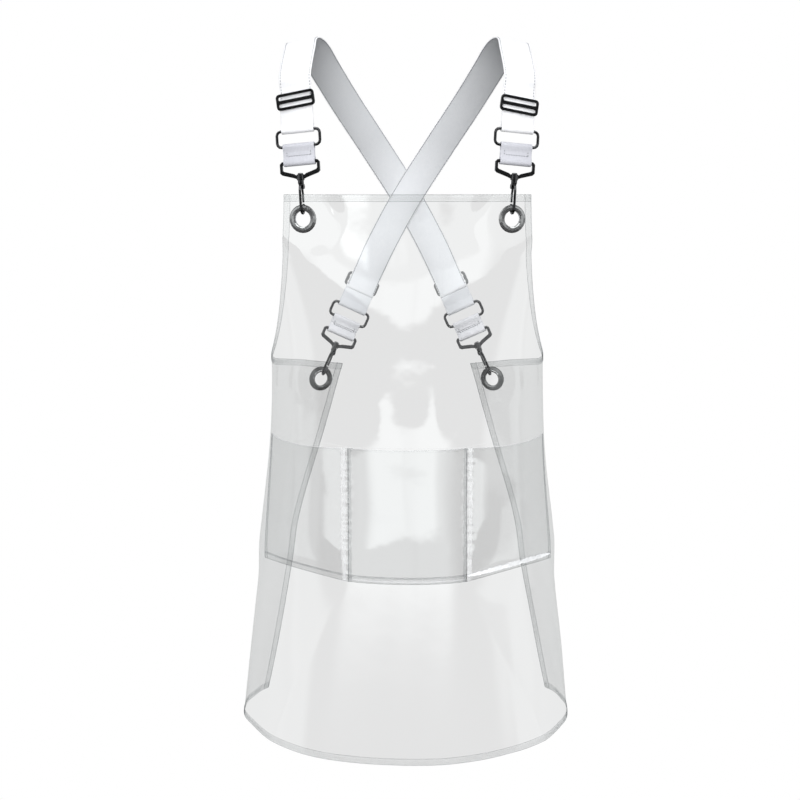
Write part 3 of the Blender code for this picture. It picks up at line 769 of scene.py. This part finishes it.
def stitch_dashes(route):
    """Straight sewing: one short raised dash for each stitch along a route."""
    pitch, share = 0.0032, 0.68
    run = path_length(route)
    dashes = []
    for start in np.arange(0.0, run[-1] - pitch, pitch):
        where = start + np.array([0.0, 0.5, 1.0]) * pitch * share
        points = np.column_stack([np.interp(where, run, column) for column in route.T])
        dashes.append(tube(points, SEWING_RADIUS))
    return merge("dashes", dashes)


def build_pocket(film, band_material, line_material, painted_highlight, painted_glare, shadow, stitching):
    u = np.linspace(0.0, 3.0, 211)
    h = np.linspace(1.0, 0.0, 81)
    size = (POCKET_WIDTH, POCKET_HEIGHT)
    pocket = sheet_mesh("pocket_sheet", pocket_point(u[None, :], h[:, None]), size)
    dress(pocket, film, "apron")
    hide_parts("pocket")

    hem = POCKET_HEM / POCKET_HEIGHT
    mouth = MOUTH_HEM / POCKET_HEIGHT
    side = POCKET_HEM / (POCKET_SIDE_TOP_A - POCKET_DIVIDER_A)
    fold, beside = DIVIDER_FOLD / CELL_WIDTH, HIGHLIGHT_OFFSET / CELL_WIDTH
    full_u = np.linspace(0.0, 3.0, 180)
    full_h = np.linspace(0.0, 1.0, 90)
    bands = [
        pocket_band(0.0, 3.0, 0.0, hem),
        pocket_band(0.0, 3.0, 1.0 - mouth, 1.0),
        pocket_band(0.0, side, 0.0, 1.0),
        pocket_band(3.0 - side, 3.0, 0.0, 1.0),
        pocket_band(1.0, 1.0 + fold, 0.0, 1.0),
        pocket_band(2.0 - fold, 2.0, 0.0, 1.0),
    ]
    # Painted highlights: white strips beside the dividers and along the seam, and the white line
    # along the mouth.
    highlight_strips = [
        painted_strip(1.0 - beside, RIGHT_HIGHLIGHT, full_h),
        painted_strip(2.0 + 0.8 * beside, LEFT_HIGHLIGHT, full_h),
        seam_highlight_strip("seam", 1.0, 2.0, 0.5 * hem, SEAM_HIGHLIGHT),
        pocket_line(full_u, 1.0, LOW_LINE),
    ]
    # Painted glare along the bottom seam under the last cell.
    glare_h = hem + 0.0003 / POCKET_HEIGHT
    glare = seam_highlight_strip("pocket_seam_glare", 2.0, 2.95, glare_h, GLARE)
    lines = [
        pocket_line(full_u, 0.0, LOW_LINE),
        pocket_line(full_u, hem, HIGH_LINE),
        # Dark line just above the bottom seam's hem: painted shadow of the fold.
        pocket_line(full_u, hem + 0.0012 / POCKET_HEIGHT, 0.0003, 0.0005),
    ]
    for outer, inner in ((0.0, side), (3.0, 3.0 - side)):
        lines.append(pocket_line(outer, full_h, LOW_LINE))
        lines.append(pocket_line(inner, full_h, HIGH_LINE))
    threads, shadows = [], []
    for place in (1.0, 2.0):
        lines.append(pocket_line(place, full_h, 0.0006, 0.0006))
        inward = place + math.copysign(fold / 2, 1.5 - place)
        # Strip of painted shadow on the middle cell's side of each divider.
        shadows.append(painted_strip(inward, SHADOW, full_h, SHADOW_LIFT))
        threads.append(stitch_dashes(pocket_point(place, full_h, 0.0012)))
    rib = alternate(181, 0.15, 0.85) * hem
    route = pocket_point(np.linspace(1.0, 2.0, 181), rib, SEWING_LIFT)
    threads.append(tube(route, SEWING_RADIUS))
    for place in (0.5 * side, 3.0 - 0.5 * side):
        wide = place + 0.36 * side * alternate(151, 1, -1)
        route = pocket_point(wide, np.linspace(0.02, 0.98, 151), SEWING_LIFT)
        threads.append(tube(route, SEWING_RADIUS))
    trims = [
        trim("pocket_bands", bands, band_material),
        trim("pocket_lines", lines, line_material),
        trim("pocket_painted_highlights", highlight_strips, painted_highlight),
        dress(glare, painted_glare, "apron"),
        trim("pocket_shadows", shadows, shadow),
        trim("pocket_thread", threads, stitching),
    ]
    return pocket, trims


# ---- stack frames
def stack_frame(corner):
    """Matrix at the grommet: Z towards the slider, Y away from the wearer."""
    front = corner.startswith("front")
    mirror = -1 if corner.endswith("left") else 1
    slider = (FRONT_SLIDER if front else BACK_SLIDER).copy()
    yaw = FRONT_YAW if front else BACK_YAW
    slider.x *= mirror
    origin = Vector(GROMMET_FRAMES[corner][0])
    up = (slider - origin).normalized()
    ahead = -1 if front else 1
    outward = Vector((-mirror * math.sin(yaw), ahead * math.cos(yaw), 0))
    outward = (outward - up * outward.dot(up)).normalized()
    side = outward.cross(up)
    return Matrix.Translation(origin) @ Matrix((side, outward, up)).transposed().to_4x4()


STACKS = {corner: stack_frame(corner) for corner in CORNERS}


# ---- straps
# The right shoulder's strap between its clips: place, sideways direction, and the share
# of the lift that keeps the two straps apart where they cross.
SHOULDER = (
    ((-0.1246, -0.0330, -0.0135), (-0.975, 0.060, -0.180), 0.0),
    ((-0.1230, 0.0000, 0.0007), (-0.980, -0.020, -0.190), 0.0),
    ((-0.1120, 0.0330, -0.0070), (-0.950, -0.170, -0.260), 0.0),
    ((-0.0975, 0.0630, -0.0310), (-0.900, -0.120, -0.420), 0.0),
    ((-0.0745, 0.0850, -0.0680), (-0.850, -0.050, -0.520), 0.0),
    ((-0.0400, 0.0965, -0.1200), (-0.845, 0.000, -0.530), 0.5),
    ((0.0000, 0.1000, -0.1820), (-0.862, 0.000, -0.507), 1.0),
    ((0.0310, 0.1005, -0.2380), (-0.885, 0.050, -0.465), 0.5),
)
FRONT_HEIGHTS = (STRAP_JOIN, SLIDER_HEIGHT, SLIDER_HEIGHT + 0.014, SLIDER_HEIGHT + 0.030)
BACK_HEIGHTS = (SLIDER_HEIGHT + 0.012, SLIDER_HEIGHT, STRAP_JOIN)
CROSSING_LIFT = 0.0014


def strap_route(lift):
    """Centre points and sideways directions of the right shoulder's strap."""

    def straight(stack, heights):
        side = stack.to_3x3().col[0]
        side = side if side.x < 0 else -side
        return [(stack @ Vector((0, LAYER, height)), side) for height in heights]

    return (
        straight(STACKS["front_right"], FRONT_HEIGHTS)
        + [(Vector((x, y + lift * share, z)), Vector(side)) for (x, y, z), side, share in SHOULDER]
        + straight(STACKS["back_left"], BACK_HEIGHTS)
    )


def spline_value(values, t):
    """Catmull-Rom curve through values, t counted in intervals."""
    last = len(values) - 1
    i = min(int(t), last - 1)
    f = t - i
    p1, p2 = values[i], values[i + 1]
    p0 = values[i - 1] if i > 0 else p1 * 2 - p2
    p3 = values[i + 2] if i + 2 <= last else p2 * 2 - p1
    return (
        p1 * 2
        + (p2 - p0) * f
        + (p0 * 2 - p1 * 5 + p2 * 4 - p3) * f * f
        + (p1 * 3 - p0 - p2 * 3 + p3) * f * f * f
    ) / 2


class Ribbon:
    """A strap's centre line, sideways direction and outward normal by length."""

    def __init__(self, route, mirrored):
        flip = Matrix.Diagonal((-1, 1, 1)) if mirrored else Matrix.Identity(3)
        places = [flip @ place for place, _ in route]
        sides = [flip @ side for _, side in route]
        self.samples = []
        count = 12 * (len(route) - 1)
        for k in range(count + 1):
            t = k * (len(route) - 1) / count
            centre = spline_value(places, t)
            ahead = spline_value(places, min(t + 0.02, len(route) - 1))
            behind = spline_value(places, max(t - 0.02, 0))
            tangent = (ahead - behind).normalized()
            side = spline_value(sides, t)
            side = (side - tangent * side.dot(tangent)).normalized()
            normal = side.cross(tangent) if mirrored else tangent.cross(side)
            self.samples.append((centre, side, normal))
        steps = [(b[0] - a[0]).length for a, b in zip(self.samples, self.samples[1:])]
        self.run = running(steps)
        self.length = float(self.run[-1])

    def at(self, s, across, lift):
        """Point at length s, moved across the width and out of the face."""
        k = np.interp(s, self.run, np.arange(len(self.run)))
        i = min(int(k), len(self.samples) - 2)
        f = k - i
        centre, side, normal = (
            a.lerp(b, f) for a, b in zip(self.samples[i], self.samples[i + 1])
        )
        return centre + side.normalized() * across + normal.normalized() * lift


# Width of the rounded part at a webbing's edge.
SELVEDGE = 0.0006


def strip_solid(name, at, length, width, steps):
    """Closed webbing strip with rounded selvedges; at(s, across, lift) places it.

    The two rows of faces on the wearer's side have the second material.
    """
    half, thin = width / 2, WEBBING / 2
    flat = half - SELVEDGE
    ring = [
        (-flat, -thin), (0.0, -thin), (flat, -thin), (half, -thin * 0.4), (half, thin * 0.4),
        (flat, thin), (0.0, thin), (-flat, thin), (-half, thin * 0.4), (-half, -thin * 0.4),
    ]
    bm = bmesh.new()
    uv = bm.loops.layers.uv.new("UVMap")
    rows = [[bm.verts.new(at(length * k / steps, *r)) for r in ring] for k in range(steps + 1)]
    for k in range(steps):
        for i in range(len(ring)):
            j = (i + 1) % len(ring)
            face = bm.faces.new((rows[k][i], rows[k][j], rows[k + 1][j], rows[k + 1][i]))
            face.smooth = True
            marks = ((k, i), (k, j), (k + 1, j), (k + 1, i))
            for loop, (row, column) in zip(face.loops, marks):
                loop[uv].uv = (ring[column][0] + half, length * row / steps)
            face.material_index = int(i < 2)
    bm.faces.new(rows[0])
    bm.faces.new(rows[-1])
    bmesh.ops.recalc_face_normals(bm, faces=bm.faces)
    return link(name, finish_bmesh(name, bm))


STITCH_WIDTH = 0.0009
STITCH_RISE = 0.00035


def stitch_line(at, start, stop, across, lift, pitch=0.0034, share=0.62):
    """Row of raised stitches; each is a small rounded dash."""
    bm = bmesh.new()
    wide, narrow = STITCH_WIDTH / 2, STITCH_WIDTH / 4
    crest = lift + math.copysign(STITCH_RISE, lift)
    for k in range(int((stop - start) / pitch)):
        s0 = start + k * pitch
        s1 = s0 + pitch * share
        t0, t1 = s0 * 0.75 + s1 * 0.25, s0 * 0.25 + s1 * 0.75
        foot = ((s0, -wide), (s0, wide), (s1, wide), (s1, -wide))
        top = ((t0, -narrow), (t0, narrow), (t1, narrow), (t1, -narrow))
        base = [bm.verts.new(at(s, across + off, lift)) for s, off in foot]
        crown = [bm.verts.new(at(s, across + off, crest)) for s, off in top]
        bm.faces.new(crown)
        for i in range(4):
            j = (i + 1) % 4
            bm.faces.new((base[i], base[j], crown[j], crown[i]))
    bmesh.ops.recalc_face_normals(bm, faces=bm.faces)
    return link("row", finish_bmesh("row", bm))


# Sewing along a strap: its inset, the length left bare at each end, and for each face how
# much nearer the edge it runs and how much of the pitch a stitch fills.
STRAP_INSET, STRAP_BARE = 0.0019, 0.004
STRAP_FACES = ((1, 0.0, 0.55), (-1, 0.0008, 0.85))


def build_strap(name, mirrored, outer, inner, thread):
    ribbon = Ribbon(strap_route(-CROSSING_LIFT if mirrored else CROSSING_LIFT), mirrored)
    strap = strip_solid(name + "_webbing", ribbon.at, ribbon.length, WEBBING_WIDTH, 150)
    dress(strap, outer, "straps")
    strap.data.materials.append(inner)
    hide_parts(name)
    rows = []
    edge, end = WEBBING_WIDTH / 2 - STRAP_INSET, ribbon.length - STRAP_BARE
    for face, outwards, share in STRAP_FACES:
        for across in (-edge - outwards, edge + outwards):
            lift = face * (WEBBING / 2)
            rows.append(stitch_line(ribbon.at, STRAP_BARE, end, across, lift, share=share))
    stitches = merge(name + "_stitches", rows)
    dress(stitches, thread, "straps")


# ---- strap ends
def profile_sheet(name, path, width, matrix, material):
    """Webbing of the given width whose middle follows path in (outward, height)."""
    route = [Vector((0, y, z)) for y, z in path]
    run = running([(b - a).length for a, b in zip(route, route[1:])])
    length = float(run[-1])

    def tangent(i):
        i = min(max(i, 0), len(route) - 2)
        return (route[i + 1] - route[i]).normalized()

    def at(s, across, lift):
        k = np.interp(s, run, np.arange(len(run)))
        i = min(int(k), len(route) - 2)
        f = k - i
        before, here, after = tangent(i - 1), tangent(i), tangent(i + 1)
        along = ((before + here) * (1 - f) + (here + after) * f).normalized()
        point = route[i].lerp(route[i + 1], f)
        return matrix @ (point + Vector((across, 0, 0)) + along.cross(Vector((1, 0, 0))) * lift)

    strip = strip_solid(name, at, length, width, max(24, int(length / 0.0012)))
    for _ in ("outer face", "inner face"):
        strip.data.materials.append(material)
    return strip, at, length


def fold_round(height, radius, start, end):
    """Points (outward, height) of an arc round a bar at that height, in degrees."""
    steps = 14
    angles = [math.radians(start + (end - start) * i / steps) for i in range(steps + 1)]
    return [(radius * math.cos(angle), height + radius * math.sin(angle)) for angle in angles]


# A strap end: height above the ring where it closes, room round the wire, overlap past the
# slider, inset of its sewing, and the shares of its length where the first sewn run stops
# and the second starts.
END_CLOSES, END_ROOM, END_OVERLAP = 0.0085, 0.0003, 0.003
END_INSET = 0.0026
END_SEWN = (0.40, 0.56)


def build_strap_end(corner, outer, thread):
    """Webbing folded round the ring and led up to the slider."""
    stack = STACKS[corner]
    near = LAYER_GAP + WEBBING / 2
    closes = RING_HIGH + END_CLOSES
    radius = RING_WIRE + END_ROOM + WEBBING / 2
    path = [(-near, STRAP_JOIN), (-near, closes)]
    path += fold_round(RING_HIGH, radius, 155, 385)
    path += [(near, closes), (near, SLIDER_HEIGHT + END_OVERLAP)]
    name = "strap_end_webbing_" + corner
    loop, at, length = profile_sheet(name, path, WEBBING_WIDTH, stack, outer)
    rows = []
    edge = WEBBING_WIDTH / 2 - END_INSET
    stop, start = (length * share for share in END_SEWN)
    for across in (-edge, edge):
        rows.append(stitch_line(at, start, length - 0.002, across, -WEBBING / 2))
        rows.append(stitch_line(at, 0.001, stop, across, -WEBBING / 2))
    stitches = merge("strap_end_stitches_" + corner, rows)
    stitches.data.materials.append(thread)
    for piece in (loop, stitches):
        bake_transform(piece)
    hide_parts("strap_end_" + corner)


# Heights of a tab's overlapping ends and of its sewn rectangle, the rectangle's inset and
# stitch pitch, the tab's half thickness at its waist, and its folds round ring and bar.
TAB_ENDS = (0.0733, 0.0731)
TAB_SEWING = (0.0716, 0.0784)
TAB_INSET, TAB_PITCH = 0.0045, 0.0030
TAB_WAIST = 0.0009
TAB_FOLD, TAB_RING_ROOM, TAB_BAR_ROOM = 0.0062, 0.0021, 0.0024


def build_tab(corner, outer, thread):
    """Short loop round the ring's lower side and the frame's bar, sewn across the middle."""
    stack = STACKS[corner]
    width = WEBBING_WIDTH - 0.001
    below_ring, above_bar = RING_LOW - TAB_FOLD, FRAME_BAR + TAB_FOLD
    path = [(TAB_WAIST, TAB_ENDS[0]), (TAB_WAIST, below_ring)]
    path += fold_round(RING_LOW, TAB_RING_ROOM + WEBBING / 2, -25, 205)
    path += [(-TAB_WAIST, below_ring), (-TAB_WAIST, above_bar)]
    path += fold_round(FRAME_BAR, TAB_BAR_ROOM + WEBBING / 2, 155, 385)
    path += [(TAB_WAIST, above_bar), (TAB_WAIST, TAB_ENDS[1])]
    path = [(-y, z) for y, z in path]
    tab, _, length = profile_sheet("tab_webbing_" + corner, path, width, stack, outer)

    def row_at(s, across, lift):
        return stack @ Vector((s, lift, across))

    def column_at(s, across, lift):
        return stack @ Vector((across, lift, s))

    rows = []
    half = width / 2 - TAB_INSET
    low, high = TAB_SEWING
    for face in (TAB_WAIST + WEBBING / 2, -TAB_WAIST - WEBBING / 2):
        rows += [stitch_line(row_at, -half, half, z, face, TAB_PITCH) for z in (low, high)]
        rows += [stitch_line(column_at, low, high, x, face, TAB_PITCH) for x in (-half, half)]
    stitches = merge("tab_stitches_" + corner, rows)
    stitches.data.materials.append(thread)
    for piece in (tab, stitches):
        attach(piece, "clip_" + corner)
    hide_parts("tab_" + corner)


# ---- hardware
SMOOTH_BELOW = math.radians(38)


def smooth_by_angle(mesh):
    bm = bmesh.new()
    bm.from_mesh(mesh)
    for edge in bm.edges:
        edge.smooth = edge.calc_face_angle(0.0) < SMOOTH_BELOW
    for face in bm.faces:
        face.smooth = True
    bm.to_mesh(mesh)
    bm.free()


def finish_hardware(front_metal, lit_back_metal, eyelet_metal, spring_metal):
    for name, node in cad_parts.items():
        if node.hide_render:
            continue
        # The back corners get a lighter copy of the gunmetal: painted light.
        metal = lit_back_metal if "_back_" in name else front_metal
        if name.startswith(("eyelet", "washer")):
            metal = eyelet_metal
        if name.startswith("gate_spring"):
            metal = spring_metal
        smooth_by_angle(node.data)
        for slot in node.material_slots:
            slot.material = metal


# ---- camera and light
CAMERA_PLACE = (-0.0085, -1.5, -0.160)
CAMERA_DROP = math.atan(220 / 1233)
SENSOR_MM, LENS_MM = 36.0, 55.5
LAMPS_AIM = Vector((0, 0, -0.45))
FLOOR_Z = -0.87
FLOOR_REACH = 4.0

# What glossy surfaces mirror, by bearing (0 is the front) and elevation in degrees:
# radiance, bearings, elevations, softness of the sides and of the top and bottom.
# The bearings of BOTH_SIDES count from the front either way, those of ONE_SIDE to the
# wearer's left.
ONE_SIDE, BOTH_SIDES = True, False
STUDIO_BOXES = (
    (0.62, (-42.0, 31.0), (-5.9, 7.6), (5.0, 0.5), ONE_SIDE),
    (0.40, (-1.0, 38.0), (-5.7, 0.8), (6.0, 0.7), BOTH_SIDES),
    (0.85, (42.0, 92.0), (0.8, 28.0), (5.0, 1.5), BOTH_SIDES),
    (0.44, (-92.0, -64.0), (-30.0, 0.8), (4.5, 1.5), ONE_SIDE),
    (0.50, (62.0, 92.0), (-30.0, -5.8), (4.5, 0.8), ONE_SIDE),
    (0.08, (64.0, 92.0), (-5.8, 0.8), (4.5, 1.2), ONE_SIDE),
    (1.20, (-13.0, -7.0), (3.0, 6.0), (2.5, 1.0), ONE_SIDE),
    (0.45, (92.0, 181.0), (-30.0, 28.0), (10.0, 8.0), BOTH_SIDES),
    (3.2, (8.0, 70.0), (34.0, 66.0), (10.0, 6.0), BOTH_SIDES),
    (0.03, (-1.0, 181.0), (-90.0, 91.0), (1.0, 1.0), BOTH_SIDES),
)


def build_camera():
    camera = link("camera", bpy.data.cameras.new("camera"))
    camera.data.sensor_width = SENSOR_MM
    camera.data.lens = LENS_MM
    camera.location = CAMERA_PLACE
    camera.rotation_euler = (math.pi / 2 - CAMERA_DROP, 0, 0)
    bpy.context.scene.camera = camera


def soft_box(name, azimuth, elevation, distance, size, radiance):
    """Studio light at that bearing from the apron; 0 is the front."""
    data = bpy.data.lights.new(name, "AREA")
    data.shape = "RECTANGLE"
    data.size, data.size_y = size
    data.energy = radiance * math.pi * size[0] * size[1]
    lamp = link(name, data)
    a, e = math.radians(azimuth), math.radians(elevation)
    way = Vector((math.sin(a) * math.cos(e), -math.cos(a) * math.cos(e), math.sin(e)))
    lamp.location = LAMPS_AIM + way * distance
    lamp.rotation_euler = (-way).to_track_quat("-Z", "Y").to_euler()
    lamp.visible_glossy = False


def build_lights():
    soft_box("key_box", -8, 38, 2.6, (1.8, 1.4), 1.7)
    soft_box("front_box", 6, 3, 2.6, (2.0, 1.2), 3.5)
    soft_box("back_box", 180, 30, 2.6, (1.8, 1.4), 2.0)


class Studio(Nodes):
    """The room that glossy surfaces mirror."""

    def __init__(self, tree):
        super().__init__(tree)
        way = self.split(self.add("ShaderNodeTexCoord").outputs["Generated"])
        ahead = self.math("MULTIPLY", way["Y"], -1.0)
        self.bearing = self.math("DEGREES", self.math("ARCTAN2", way["X"], ahead))
        self.side = self.math("ABSOLUTE", self.bearing)
        self.height = self.math("DEGREES", self.math("ARCSINE", way["Z"]))

    def step(self, value, centre, soft):
        limits = dict(From_Min=centre - soft, From_Max=centre + soft)
        return self.map_range(value, interpolation_type="SMOOTHSTEP", **limits)

    def window(self, value, low, high, soft):
        fall = self.math("SUBTRACT", 1.0, self.step(value, high, soft))
        return self.math("MULTIPLY", self.step(value, low, soft), fall)

    def box(self, radiance, across, up, soft, one_side):
        wide = self.window(self.bearing if one_side else self.side, *across, soft[0])
        tall = self.window(self.height, *up, soft[1])
        return self.math("MULTIPLY", self.math("MULTIPLY", wide, tall), radiance)

    def radiance(self):
        light, *others = [self.box(*box) for box in STUDIO_BOXES]
        for other in others:
            light = self.math("ADD", light, other)
        return light


def build_world():
    """White to the camera, a studio to glossy surfaces and even light to the rest."""
    world = bpy.data.worlds.new("studio")
    bpy.context.scene.world = world
    world.use_nodes = True
    studio = Studio(world.node_tree)
    white = studio.tree.nodes["Background"]
    white.inputs["Color"].default_value = (1, 1, 1, 1)
    fill = studio.add("ShaderNodeBackground", Color=(0.96, 0.97, 1.0, 1))
    room = studio.add("ShaderNodeBackground", Color=(0.97, 1.0, 0.99, 1))
    studio.link(studio.radiance(), room.inputs["Strength"])
    other = studio.by_ray("Is Glossy Ray", room.outputs[0], fill.outputs[0])
    seen = studio.by_ray("Is Camera Ray", white.outputs[0], other)
    studio.link(seen, studio.tree.nodes["World Output"].inputs["Surface"])
    bpy.context.scene.view_settings.view_transform = "Standard"


def build_floor():
    """Floor that is white to the camera, absent to glossy surfaces and dim to the rest."""
    n = Surface("pale_floor")
    n.set(Base_Color=(0.10, 0.10, 0.10, 1), Roughness=0.9)
    glow = n.add("ShaderNodeEmission", Color=(1, 1, 1, 1)).outputs[0]
    other = n.by_ray("Is Glossy Ray", n.clear((1, 1, 1)), n.solid)
    n.show(n.by_ray("Is Camera Ray", glow, other))
    corners = [(x * FLOOR_REACH, y * FLOOR_REACH) for x, y in ((-1, -1), (1, -1), (1, 1), (-1, 1))]
    mesh = bpy.data.meshes.new("floor")
    mesh.from_pydata([(x, y, FLOOR_Z) for x, y in corners], [], [(0, 1, 2, 3)])
    mesh.materials.append(n.material)
    link("floor", mesh)


def main():
    film = film_material("clear_film", (0.920, 0.922, 0.922), 0.17, 0.38, low_gloss=0.13)
    pocket_film = film_material("pocket_film", (0.950, 0.952, 0.952), 0.18, 0.36)
    band = film_material("hem_film", (0.985, 0.988, 0.988), 0.03, 0.12, 0.18)
    # Darker film for the strips of painted shadow beside the dividers.
    shadow = film_material("painted_shadow_film", (0.86, 0.865, 0.87), 0.05, 0.12, 0.2)
    line = film_material("film_edge", (0.82, 0.825, 0.83), 0.10, 0.18, 0.25)
    # White film for the strips of painted highlight and painted glare on the pocket's seams.
    painted_highlight = painted_highlight_material("film_painted_highlight", 0.12, 0.50)
    painted_glare = painted_highlight_material("film_painted_glare", 0.40, 0.80)
    outer = webbing_material("webbing_white", (0.95, 0.95, 0.96), (0.88, 0.885, 0.89))
    # Inner face: near-white webbing with painted shade along the strap, darker over the shoulders.
    inner = webbing_material("webbing_inner_face_painted_shade", (0.97, 0.98, 0.99), (0.88, 0.90, 0.92), True)
    # Front tabs: the white webbing darkened to grey, painted shade; the back tabs keep its near
    # white.
    shaded_tab = webbing_material("webbing_tab_painted_shade", (0.66, 0.665, 0.70), (0.55, 0.555, 0.60))
    back_label = webbing_material("webbing_back_tab", (0.97, 0.975, 0.99), (0.88, 0.885, 0.91))
    loop = webbing_material("webbing_loop", (0.93, 0.95, 0.97), (0.85, 0.87, 0.89))
    # Dark grey thread: painted shade, standing in for the shadow each raised stitch casts on the
    # white webbing.
    thread = thread_material("thread", (0.30, 0.31, 0.33))
    clear_thread = film_material("clear_thread", (0.90, 0.905, 0.91), 0.14, 0.20, 0.3)
    gunmetal = metal_material("gunmetal", (0.10, 0.10, 0.105), 0.22)
    # Lighter, less metallic copy of the gunmetal for the back corners: painted light for the bright
    # surroundings their metal mirrors.
    lit_back_gunmetal = metal_material("gunmetal_behind_painted_light", (0.22, 0.22, 0.225), 0.30, 0.7)
    eyelet = metal_material("eyelet_metal", (0.50, 0.50, 0.505), 0.20, 0.88)
    spring = metal_material("spring_steel", (0.35, 0.35, 0.36), 0.32)

    panel = build_panel(film)
    hem = build_hems(band, line, clear_thread)
    trim_materials = (band, line, painted_highlight, painted_glare, shadow, clear_thread)
    pocket, pocket_trims = build_pocket(pocket_film, *trim_materials)
    build_strap("strap_right_shoulder", False, outer, inner, thread)
    build_strap("strap_left_shoulder", True, outer, inner, thread)
    for corner in CORNERS:
        behind = corner.startswith("back")
        build_strap_end(corner, loop if behind else outer, thread)
        build_tab(corner, back_label if behind else shaded_tab, thread)
    finish_hardware(gunmetal, lit_back_gunmetal, eyelet, spring)
    build_camera()
    build_lights()
    build_world()
    build_floor()


main()
